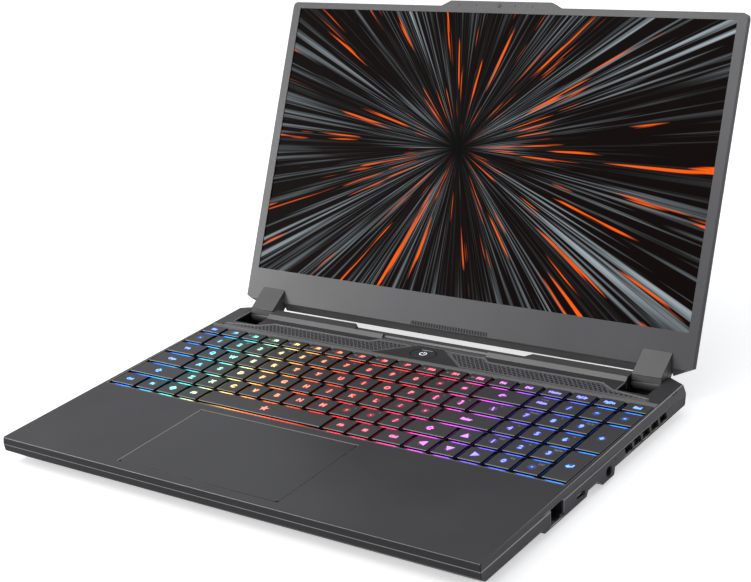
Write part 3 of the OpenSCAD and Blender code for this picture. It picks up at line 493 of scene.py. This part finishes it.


# where the deck gets painted shade on its front face and painted light on its rear strips, in
# millimetres from its front edge
deckPaintedLight = {"frontEnds": 8, "stripStarts": 190}

# the deck's rounded edges carry a painted highlight; its front face gets painted shade and its
# strips that face forwards and up get painted light
deck = softShell("top_case", "deckShell", "base", 0.4 * mm, "edgeHighlightCoat")
paintLightAndShadeOn(deck, "shadedFrontCoat", lambda n, c: n.y < -0.5
          and c.y < frontY + deckPaintedLight["frontEnds"] * mm)
paintLightAndShadeOn(deck, "litStripCoat", lambda n, c: n.y < -0.25 and n.z > 0.25
          and c.y > frontY + deckPaintedLight["stripStarts"] * mm)
cover = softShell("hinge_cover", "hingeCoverShell", "base", 0.35 * mm, None, True)
# painted light on the cover's strips that face forwards and up
paintLightAndShadeOn(cover, "litStripCoat", lambda n, c: n.y < -0.25 and n.z > 0.2)
lidBack = softShell("lid_cover", "lidBackShell", "lid", 0.4 * mm)
bezel = softShell("lid_bezel", "bezelFrame", "lid", 0.3 * mm)
# painted light on the lid's faces that lean forwards and down
for piece in (lidBack, bezel):
    paintLightAndShadeOn(piece, "litStripCoat", lambda n, c: n.y < -0.2 and n.z < -0.15)
softShell("hinge_arm_left", "hingeArmLeft", "lid", 0.4 * mm)
softShell("hinge_arm_right", "hingeArmRight", "lid", 0.4 * mm)
print("shells ready")


# keyboard

keyboard = {
    "pitch": 18.6, "gap": 3.0, "rowPitch": 18.4, "depth": 15.2, "functionDepth": 10.0,
    "columns": 19, "functionRow": 5, "front": 94.5,
    "capHeight": 2.0, "cornerRadius": 0.6, "topEdge": 0.3,
    "glowHeight": 0.5,           # how much of the side lets the light out
    "frontGlow": 2.8, "rearGlow": 0.5, "sideGlow": 0.2,
    "glowFades": (0.4, 0.97),    # where the light starts and stops fading along a side
    "glowEnds": 0.06,            # what is left of it there
}
lettering = {
    "big": 5.4, "word": 3.4, "small": 2.5, "lift": 0.02, "bold": 0.24, "smallBold": 0.05,
    "functionRight": 1.6,        # on a function key, from the middle to its name
    "functionLeft": -4.4,        # and to its sign
    "cornerRight": 3.6,          # on another key, from the middle to its small sign
    "cornerBack": 3.2,           # and from the rear edge
    "strength": 2.5, "pale": 0.13,
    "halo": 0.34, "haloFades": (0.1, 0.36),      # in centimetres from the middle
}
# the light runs round the colours from the left edge of the keyboard to the right
keyColours = [
    (0.00, "#2460ff"), (0.055, "#2390ff"), (0.11, "#1fcdf5"), (0.15, "#4aefd4"),
    (0.19, "#a8f0b8"), (0.235, "#ffdc86"), (0.285, "#ffa44c"), (0.34, "#ff6a30"),
    (0.42, "#ff3a24"), (0.53, "#ff2430"), (0.61, "#ff2a62"), (0.67, "#ff3cae"),
    (0.73, "#c846ff"), (0.785, "#7c4cff"), (0.84, "#4a56ff"), (0.90, "#2f6cff"), (1.00, "#2386ff"),
]


def oneKey(nodeName, row, start, width, legend, small="", tall=1):
    return [{"node": nodeName, "row": row, "start": start, "width": width, "tall": tall,
             "legend": legend, "small": small}]


def keyRun(nodeName, row, start, legends, smalls=()):
    # neighbouring keys of the common width
    smalls = list(smalls) + [""] * (len(legends) - len(smalls))
    run = []
    for place, (legend, small) in enumerate(zip(legends, smalls)):
        run += oneKey(nodeName, row, start + place, 1, legend, small)
    return run


keyLayout = (
    oneKey("key_escape", 5, 0, 1, "Esc")
    + keyRun("keys_function_row", 5, 1, [f"F{n}" for n in range(1, 13)]
             + ["Prt", "Del", "Home", "PgUp", "PgDn", "End"],
             ["\u2022", "\u25bc", "\u25b2", "\u2630", "\u25c6", "\u2261",
              "\u25bc", "\u25b2", "\u2022", "\u25c0", "\u25b6", "\u25c6"])
    + keyRun("keys_number_row", 4, 0, "`1234567890-=", "~!@#$%^&*()_+")
    + oneKey("key_backspace", 4, 13, 2, "\u2190")
    + keyRun("keys_numpad", 4, 15, ["Num", "/", "*", "-"], ["Lock"])
    + oneKey("keys_upper_row", 3, 0, 1.5, "Tab")
    + keyRun("keys_upper_row", 3, 1.5, "QWERTYUIOP[]", [""] * 10 + ["{", "}"])
    + oneKey("keys_upper_row", 3, 13.5, 1.5, "\\", "|")
    + keyRun("keys_numpad", 3, 15, "789", ["Home", "\u2191", "PgUp"])
    + oneKey("keys_home_row", 2, 0, 1.75, "Caps")
    + keyRun("keys_home_row", 2, 1.75, "ASDFGHJKL;'", [""] * 9 + [":", "\""])
    + oneKey("key_enter", 2, 12.75, 2.25, "Enter")
    + keyRun("keys_numpad", 2, 15, "456", ["\u2190", "", "\u2192"])
    + oneKey("key_shift_left", 1, 0, 2.25, "\u21e7")
    + keyRun("keys_lower_row", 1, 2.25, "ZXCVBNM,./", [""] * 7 + ["<", ">", "?"])
    + oneKey("key_shift_right", 1, 12.25, 1.75, "\u21e7")
    + oneKey("key_up", 1, 14, 1, "\u25b2")
    + keyRun("keys_numpad", 1, 15, "123", ["End", "\u2193", "PgDn"])
    + oneKey("keys_bottom_row", 0, 0, 1.25, "Ctrl")
    + keyRun("keys_bottom_row", 0, 1.25, ["Fn", "\u25c6", "Alt"])
    + oneKey("key_space", 0, 4.25, 5.5, "\u2606")
    + keyRun("keys_bottom_row", 0, 9.75, ["Alt", "\u2261"])
    + oneKey("keys_bottom_row", 0, 11.75, 1.25, "Ctrl")
    + oneKey("key_left", 0, 13, 1, "\u25c0")
    + oneKey("key_down", 0, 14, 1, "\u25bc")
    + oneKey("key_right", 0, 15, 1, "\u25b6")
    + keyRun("keys_numpad", 0, 16, "0.", ["Ins", "Del"])
    + oneKey("keys_numpad", 2, 18, 1, "+", tall=2)
    + oneKey("keys_numpad", 0, 18, 1, "\u21b5", tall=2)
)


def keyRect(key):
    width = key["width"] * keyboard["pitch"] - keyboard["gap"]
    if key["row"] == keyboard["functionRow"]:
        depth = keyboard["functionDepth"]
    else:
        depth = keyboard["depth"] + (key["tall"] - 1) * keyboard["rowPitch"]
    wholeWidth = keyboard["columns"] * keyboard["pitch"] - keyboard["gap"]
    x = -wholeWidth / 2 + key["start"] * keyboard["pitch"] + width / 2
    y = keyboard["front"] + key["row"] * keyboard["rowPitch"] + depth / 2
    return x, y, width, depth


def rainbow(tree):
    # colour of the light at a place across the keyboard
    place = addNode(tree, "ShaderNodeTexCoord")
    split = addNode(tree, "ShaderNodeSeparateXYZ", {0: place.outputs["Object"]})
    low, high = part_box("keyboard_plate")
    across = mapRange(tree, split.outputs["X"], low.x, high.x)
    ramp = addNode(tree, "ShaderNodeValToRGB", {"Fac": across})
    stops = ramp.color_ramp.elements
    while len(stops) < len(keyColours):
        stops.new(1.0)
    for stop, (position, colour) in zip(stops, keyColours):
        stop.position = position
        stop.color = linearColour(colour)
    return ramp.outputs["Color"]


def makeCapTop():
    # matt coated ABS that takes a little of the legend's light
    material = finishes["keyTop"].copy()
    material.name = "litKeycapAbs"
    tree = material.node_tree
    shader = tree.nodes["Principled BSDF"]
    place = addNode(tree, "ShaderNodeUVMap", uv_map="fromLegend")
    away = addNode(tree, "ShaderNodeVectorMath", {0: place.outputs[0]}, operation="LENGTH")
    halo = mapRange(tree, away.outputs["Value"], *lettering["haloFades"], lettering["halo"], 0.0,
                    smooth=True)
    tree.links.new(rainbow(tree), shader.inputs["Emission Color"])
    tree.links.new(halo, shader.inputs["Emission Strength"])
    return material


def makeCapGlow():
    # the lower edge of a cap, where the light gets out: strongest in the middle of a side
    material, tree, shader = newMaterial("translucentKeycapRim")
    shader.inputs["Base Color"].default_value = linearColour("#101012")
    shader.inputs["Roughness"].default_value = 0.5
    place = addNode(tree, "ShaderNodeUVMap", uv_map="acrossKey")
    split = addNode(tree, "ShaderNodeSeparateXYZ", {0: place.outputs[0]})
    along = calculate(tree, "ABSOLUTE", split.outputs[0])
    fade = mapRange(tree, along, *keyboard["glowFades"], 1.0, keyboard["glowEnds"], smooth=True)
    strength = calculate(tree, "MULTIPLY", fade, split.outputs[1])
    tree.links.new(rainbow(tree), shader.inputs["Emission Color"])
    tree.links.new(strength, shader.inputs["Emission Strength"])
    return material


def makeLegendLight():
    # clear windows through the coating, near white in the middle of each colour
    material, tree, shader = newMaterial("clearLegendWindow")
    shader.inputs["Base Color"].default_value = linearColour("#303030")
    shader.inputs["Roughness"].default_value = 0.4
    paler = mixColours(tree, lettering["pale"], rainbow(tree), linearColour("#ffffff"))
    tree.links.new(paler, shader.inputs["Emission Color"])
    shader.inputs["Emission Strength"].default_value = lettering["strength"]
    return material


finishes["capTop"] = makeCapTop()
finishes["capGlow"] = makeCapGlow()
finishes["legendLight"] = makeLegendLight()

capFinishes = ["capTop", "keySide", "capGlow", "capHighlight"]
capShapes = {}


def buildCap(width, depth):
    # one cap round the origin, its top at height 0
    height = keyboard["capHeight"] * mm
    glowTop = -height + keyboard["glowHeight"] * mm
    bpy.ops.mesh.primitive_cube_add(size=1, location=(0, 0, -height / 2),
                                    scale=(width * mm, depth * mm, height))
    cap = bpy.context.active_object
    settle(cap)

    def shapeCap(shape):
        for edge in shape.edges:
            a, b = (v.co for v in edge.verts)
            edge.select = abs(a.z - b.z) > height / 2
        bpy.ops.mesh.bevel(offset=keyboard["cornerRadius"] * mm, segments=3)
        bpy.ops.mesh.select_all(action="DESELECT")
        shape = bmesh.from_edit_mesh(cap.data)
        for edge in shape.edges:
            edge.select = all(v.co.z > -1e-6 for v in edge.verts)
        bpy.ops.mesh.bevel(offset=keyboard["topEdge"] * mm, segments=2)
        bpy.ops.mesh.select_all(action="SELECT")
        bpy.ops.mesh.bisect(plane_co=(0, 0, glowTop), plane_no=(0, 0, 1))
        shape = bmesh.from_edit_mesh(cap.data)
        across = shape.loops.layers.uv.new("acrossKey")
        legend = shape.loops.layers.uv.new("fromLegend")
        shape.faces.ensure_lookup_table()
        for face in shape.faces:
            normal = face.normal
            # the front rounding of a cap gets a painted highlight
            if normal.y < -0.3 and 0.2 < normal.z < 0.95:
                finish = "capHighlight"
            elif normal.z > 0.4:
                finish = "capTop"
            elif face.calc_center_median().z > glowTop or normal.z < -0.5:
                finish = "keySide"
            else:
                finish = "capGlow"
            face.material_index = capFinishes.index(finish)
            lengthways = abs(normal.y) > abs(normal.x)
            if lengthways:
                share = keyboard["frontGlow"] if normal.y < 0 else keyboard["rearGlow"]
            else:
                share = keyboard["sideGlow"]
            for loop in face.loops:
                place = loop.vert.co
                along = place.x / width if lengthways else place.y / depth
                loop[across].uv = (2 * along / mm, share)
                # metres to centimetres
                loop[legend].uv = (place.x * 100, place.y * 100)
        bmesh.update_edit_mesh(cap.data)

    setMaterials(cap, *[finishes[name] for name in capFinishes])
    editMesh(cap, shapeCap)
    return cap


def buildLegend(text, size, place, material, bold):
    bpy.ops.object.text_add(location=(0, 0, 0))
    words = bpy.context.active_object.data
    words.body = text
    words.size = size * mm
    words.align_x = "CENTER"
    words.align_y = "CENTER"
    words.resolution_u = 2
    words.offset = bold * mm
    bpy.ops.object.convert(target="MESH")
    legend = bpy.context.active_object
    # the letters' own middle goes to the place
    corners = [Vector(corner) for corner in legend.bound_box]
    legend.location = place - (corners[0] + corners[6]) / 2
    settle(legend)
    setMaterials(legend, material)
    return legend


def buildKey(key):
    # a copy of the cap of its size, with its legends
    x, y, width, depth = keyRect(key)
    if (width, depth) not in capShapes:
        capShapes[width, depth] = buildCap(width, depth)
    cap = capShapes[width, depth].copy()
    cap.data = cap.data.copy()
    bpy.context.scene.collection.objects.link(cap)
    cap.location = spot(x, y, 0)
    settle(cap)
    functionKey = key["row"] == keyboard["functionRow"]
    single = len(key["legend"]) == 1
    slide = lettering["functionRight"] if functionKey and key["small"] else 0
    parts = [cap, buildLegend(key["legend"], lettering["big" if single else "word"],
                              spot(x + slide, y, lettering["lift"]), finishes["legendLight"],
                              lettering["bold"])]
    if key["small"]:
        if functionKey:
            side, back = lettering["functionLeft"], 0
        else:
            side = lettering["cornerRight"] if single else 0
            back = depth / 2 - lettering["cornerBack"]
        parts.append(buildLegend(key["small"], lettering["small"],
                                 spot(x + side, y + back, lettering["lift"]),
                                 finishes["legendInk"], lettering["smallBold"]))
    return parts


keyPieces = {}
for key in keyLayout:
    keyPieces.setdefault(key["node"], []).extend(buildKey(key))
for cap in capShapes.values():
    bpy.data.objects.remove(cap)

bodyOf = {name: body for body, names in frame["record"]["behaviour"]["bodies"].items()
          for name in names}
for nodeName, parts in keyPieces.items():
    piece = joinPieces(parts, nodeName.replace("key", "lit", 1))
    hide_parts(nodeName)
    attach(piece, bodyOf[nodeName])
print("keys ready")


# picture on the screen

screen = {
    "width": 344.2, "height": 193.6, "thick": 0.12,
    "foot": 33.8,                # from the hinge axis up to the picture's lower edge
    "face": -5.13,               # and out to the middle of the sheet
    "rayCentre": (-0.08, 0.02),  # from the picture's middle, in picture heights
    "night": "#0d0504", "grey": "#c4d2da", "warm": "#ff6210", "hollow": "#050506",
}


def buildScreen():
    # a thin sheet on the front of the panel, made flat and then leaned like the lid
    bpy.ops.mesh.primitive_cube_add(size=1)
    sheet = bpy.context.active_object
    sheet.scale = (screen["width"] * mm, screen["height"] * mm, screen["thick"] * mm)
    settle(sheet)
    bevelEdges(sheet, 0.03 * mm)
    shape = bmesh.new()
    shape.from_mesh(sheet.data)
    layer = shape.loops.layers.uv.verify()
    tall = screen["height"] * mm
    for face in shape.faces:
        for loop in face.loops:
            loop[layer].uv = (loop.vert.co.x / tall, loop.vert.co.y / tall)
    shape.to_mesh(sheet.data)
    shape.free()
    sheet.location = lidSpot(0, screen["foot"] + screen["height"] / 2, screen["face"])
    sheet.rotation_euler = (lidHinge["lean"], 0, 0)
    settle(sheet)
    sheet.name = "litPicture"
    return sheet


def makePicture():
    # a generic night field of rays that run out from one point, behind an anti-glare surface
    material, tree, shader = newMaterial("antiGlareDisplay")
    place = addNode(tree, "ShaderNodeUVMap")
    split = addNode(tree, "ShaderNodeSeparateXYZ", {0: place.outputs[0]})
    x = calculate(tree, "SUBTRACT", split.outputs[0], screen["rayCentre"][0])
    y = calculate(tree, "SUBTRACT", split.outputs[1], screen["rayCentre"][1])
    angle = calculate(tree, "ARCTAN2", y, x)
    pair = addNode(tree, "ShaderNodeCombineXYZ", {0: x, 1: y})
    reach = addNode(tree, "ShaderNodeVectorMath", {0: pair.outputs[0]}, operation="LENGTH")
    slow = calculate(tree, "POWER", reach.outputs["Value"], 0.5)

    def rays(fineness, along, seed, dark, bright, faintest=0.0):
        # streaks of noise; what lies above bright is full light, below dark the faintest
        around = calculate(tree, "MULTIPLY", angle, fineness)
        outward = calculate(tree, "MULTIPLY", slow, along)
        spread = addNode(tree, "ShaderNodeCombineXYZ", {0: around, 1: outward, 2: seed})
        noise = addNode(tree, "ShaderNodeTexNoise", {"Vector": spread.outputs[0], "Scale": 1.0,
                                                     "Detail": 2.0, "Roughness": 0.55})
        return mapRange(tree, noise.outputs["Fac"], dark, bright, faintest)

    fine = rays(58, 1.6, 3.1, 0.5, 0.86)
    broad = rays(5, 1.2, 8.4, 0.42, 0.66, 0.06)
    hot = rays(26, 2.6, 15.7, 0.64, 0.68)
    ground = mixColours(tree, calculate(tree, "MULTIPLY", fine, broad),
                        linearColour(screen["night"]), linearColour(screen["grey"]))
    lit = mixColours(tree, hot, ground, linearColour(screen["warm"]))
    haze = mapRange(tree, reach.outputs["Value"], 0.0, 0.2, smooth=True)
    centre = mixColours(tree, haze, linearColour(screen["hollow"]), lit)
    tree.links.new(centre, shader.inputs["Emission Color"])
    shader.inputs["Emission Strength"].default_value = 1.0
    shader.inputs["Base Color"].default_value = linearColour("#010101")
    shader.inputs["Roughness"].default_value = 0.4
    shader.inputs["Specular IOR Level"].default_value = 0.02
    return material


picture = buildScreen()
setMaterials(picture, makePicture())
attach(picture, "lid")
print("screen ready")


# vent wings

ventWing = {
    "pitch": 3.4, "depth": 4.2, "front": 202.2, "bar": 0.8, "rim": 1.4, "thick": 0.7,
    "sink": 0.06,                # how far the bars lie below the deck's top
    "rimLift": 0.04,             # how far the rim stands above the bars
    "outline": [(14, 16.8), (42, 16.8), (47.5, 12), (131, 12), (141, 5.4), (167, 2), (168, 0),
                (35, 0)],
}


def insideOutline(x, y, outline):
    # counts the outline's crossings to the right of the place
    inside = False
    for (ax, ay), (bx, by) in zip(outline, outline[1:] + outline[:1]):
        if (ay > y) != (by > y) and x < ax + (bx - ax) * (y - ay) / (by - ay):
            inside = not inside
    return inside


def buildVent(side):
    # a lattice of thin diagonal bars inside a plain rim; side is -1 for left and 1 for right
    stepX, stepY = ventWing["pitch"] / 2, ventWing["depth"] / 2
    outline = ventWing["outline"]
    whole = bmesh.new()

    def addBar(start, end, width):
        bpy.ops.mesh.primitive_cube_add(size=1)
        bar = bpy.context.active_object
        across, along = end[0] - start[0], end[1] - start[1]
        bar.scale = (math.hypot(across, along) * mm, width * mm, ventWing["thick"] * mm)
        bar.rotation_euler = (0, 0, math.atan2(along, across))
        settle(bar)
        bevelEdges(bar, 0.08 * mm)
        return bar

    def stamp(bar, x, y, z):
        first = len(whole.verts)
        whole.from_mesh(bar.data)
        whole.verts.ensure_lookup_table()
        bmesh.ops.translate(whole, vec=Vector((x, y, z)) * mm, verts=whole.verts[first:])

    leaning = {rise: addBar((0, 0), (stepX, rise * stepY), ventWing["bar"]) for rise in (1, -1)}
    farX, farY = (max(values) for values in zip(*outline))
    for row in range(-1, int(farY / stepY) + 2):
        for column in range(int(farX / stepX) + 1):
            for rise, bar in leaning.items():
                x, y = (column + 0.5) * stepX, (row + 0.5 * rise) * stepY
                if (row + column) % 2 == 0 and insideOutline(x, y, outline):
                    stamp(bar, x, y, 0)
    for start, end in zip(outline, outline[1:] + outline[:1]):
        rim = addBar(start, end, ventWing["rim"])
        stamp(rim, (start[0] + end[0]) / 2, (start[1] + end[1]) / 2, ventWing["rimLift"])
        bpy.data.objects.remove(rim)
    corner = spot(0, ventWing["front"], -ventWing["thick"] / 2 - ventWing["sink"])
    for vertex in whole.verts:
        vertex.co = Vector((vertex.co.x * side, vertex.co.y, vertex.co.z)) + corner
    if side < 0:
        bmesh.ops.reverse_faces(whole, faces=whole.faces)
    # the first bar takes the whole lattice
    vent = leaning[1]
    bpy.data.objects.remove(leaning[-1])
    whole.to_mesh(vent.data)
    whole.free()
    vent.name = "ventLattice" + ("Left" if side < 0 else "Right")
    setMaterials(vent, finishes["litVentBarsCoat"])
    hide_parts("vent_grille_left" if side < 0 else "vent_grille_right")
    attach(vent, "base")


buildVent(-1)
buildVent(1)


# hinge pockets

pocket = {"topDrop": 7, "sideGap": 0.2, "thick": 0.8, "lift": 0.5}


def buildPocketLiner(nodeName):
    # the sloping black wall that closes a hinge pocket towards the rear
    low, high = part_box(nodeName)
    mount = bpy.data.objects[nodeName].data.vertices
    foot = max(v.co.y for v in mount if v.co.z < low.z + 0.05 * mm)
    top = deckZ - pocket["topDrop"] * mm
    run, rise = high.y - foot, top - low.z
    bpy.ops.mesh.primitive_cube_add(size=1)
    liner = bpy.context.active_object
    liner.scale = (high.x - low.x - pocket["sideGap"] * mm, math.hypot(run, rise),
                   pocket["thick"] * mm)
    liner.rotation_euler = (math.atan2(rise, run), 0, 0)
    liner.location = ((low.x + high.x) / 2, (foot + high.y) / 2,
                      (low.z + top) / 2 + pocket["lift"] * mm)
    settle(liner)
    bevelEdges(liner, 0.2 * mm)
    liner.name = nodeName.replace("hinge_mount", "pocketLiner")
    setMaterials(liner, finishes["blackAbs"])
    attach(liner, "base")


buildPocketLiner("hinge_mount_left")
buildPocketLiner("hinge_mount_right")


# chin pad

# the rib colours are painted shade in the grooves and a painted highlight on the crests
chinPad = {"ribPitch": 2.2, "ribHeight": 0.3, "shadeInDips": "#141315", "highlightOnRidges": "#575557"}
waveTurns = 20 / math.tau        # how often the wave node repeats in one unit


def makeRibbedRubber():
    # a rubber strip with fine upright ribs, with painted shade in the grooves and a painted
    # highlight on the crests
    material = finishes["rubber"].copy()
    material.name = "ribbedRubber"
    tree = material.node_tree
    shader = tree.nodes["Principled BSDF"]
    place = addNode(tree, "ShaderNodeTexCoord")
    scale = 1 / (chinPad["ribPitch"] * mm) / waveTurns
    ribs = addNode(tree, "ShaderNodeTexWave", {"Vector": place.outputs["Object"], "Scale": scale},
                   wave_type="BANDS", bands_direction="X")
    ribShading = mixColours(tree, ribs.outputs["Fac"], linearColour(chinPad["shadeInDips"]),
                      linearColour(chinPad["highlightOnRidges"]))
    bump = addNode(tree, "ShaderNodeBump", {"Height": ribs.outputs["Fac"], "Strength": 0.6,
                                            "Distance": chinPad["ribHeight"] * mm})
    tree.links.new(ribShading, shader.inputs["Base Color"])
    tree.links.new(bump.outputs[0], shader.inputs["Normal"])
    return material


setMaterials(bpy.data.objects["chin_pad"], makeRibbedRubber())


# power button

power = {
    "y": 210.8, "radius": 2.3, "line": 0.28, "bar": (0.4, 3.0), "signZ": -0.06,
    "arcStart": 125, "arc": 290, "arcSteps": 28,
    "ovals": ((9.7, 6.3), (10.5, 7.1)), "ovalZ": 0.03, "ovalSteps": 48,
}


def powerSpot(reachX, reachY, angle, z):
    # a place on an oval round the button's middle
    return spot(reachX * math.cos(angle), power["y"] + reachY * math.sin(angle), z)


def buildPowerSign():
    # an open ring with a short bar, the usual on and off sign
    line, steps = power["line"], power["arcSteps"]
    shape = bmesh.new()
    inner, outer = [], []
    for n in range(steps + 1):
        angle = math.radians(power["arcStart"] + power["arc"] * n / steps)
        for ring, reach in ((inner, power["radius"] - line), (outer, power["radius"] + line)):
            ring.append(shape.verts.new(powerSpot(reach, reach, angle, power["signZ"])))
    for n in range(steps):
        shape.faces.new((inner[n], outer[n], outer[n + 1], inner[n + 1]))
    low, high = power["bar"]
    corners = [(-line, low), (line, low), (line, high), (-line, high)]
    shape.faces.new([shape.verts.new(spot(x, power["y"] + y, power["signZ"]))
                     for x, y in corners])
    bmesh.ops.recalc_face_normals(shape, faces=shape.faces)
    return addShape(shape, "powerSign")


def makeLamp(name, colour, strength):
    material, tree, shader = newMaterial(name)
    shader.inputs["Base Color"].default_value = linearColour("#202020")
    shader.inputs["Emission Color"].default_value = linearColour(colour)
    shader.inputs["Emission Strength"].default_value = strength
    return material


def buildPowerRing():
    # the dark oval line round the power button
    steps = power["ovalSteps"]
    shape = bmesh.new()
    rings = [[shape.verts.new(powerSpot(wide, deep, math.tau * n / steps, power["ovalZ"]))
              for n in range(steps)] for wide, deep in power["ovals"]]
    for n in range(steps):
        after = (n + 1) % steps
        shape.faces.new((rings[0][n], rings[1][n], rings[1][after], rings[0][after]))
    ring = addShape(shape, "powerRing")
    setMaterials(ring, finishes["blackAbs"])
    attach(ring, "base")


buildPowerRing()


# small marks

micHole = {"across": (-32.5, -18.8, 12.5, 25.8), "up": 232.5, "out": -4.07, "radius": 0.55}
statusLight = {"x": 177.7, "along": (217.2, 220.6), "z": -0.7, "radius": 0.6, "stretch": 1.3}


def buildMicHoles():
    # black discs stand for the microphone holes: painted shade where the hollows would be
    holes = []
    for x in micHole["across"]:
        bpy.ops.mesh.primitive_circle_add(vertices=14, radius=micHole["radius"] * mm,
                                          fill_type="NGON",
                                          location=lidSpot(x, micHole["up"], micHole["out"]),
                                          rotation=(lidHinge["lean"], 0, 0))
        hole = bpy.context.active_object
        settle(hole)
        holes.append(hole)
    whole = joinPieces(holes, "micHoles")
    setMaterials(whole, finishes["blackAbs"])
    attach(whole, "lid")


def buildStatusLights():
    # two small dark windows on the right edge of the deck, near the hinge
    windows = []
    for y in statusLight["along"]:
        bpy.ops.mesh.primitive_uv_sphere_add(segments=16, ring_count=8,
                                             radius=statusLight["radius"] * mm,
                                             location=spot(statusLight["x"], y, statusLight["z"]))
        window = bpy.context.active_object
        window.scale = (1, statusLight["stretch"], 1)
        settle(window)
        windows.append(window)
    whole = joinPieces(windows, "statusLights")
    bpy.ops.object.shade_smooth()
    setMaterials(whole, finishes["blackAbs"])
    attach(whole, "base")


buildMicHoles()
buildStatusLights()
powerSign = buildPowerSign()
setMaterials(powerSign, makeLamp("clearPowerWindow", "#f4f7ff", 1.6))
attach(powerSign, "power_button")
softShell("power_button", "powerCap", "power_button", 0.25 * mm)
softShell("touchpad", "touchpadGlass", "touchpad", 0.2 * mm)
print("details ready")
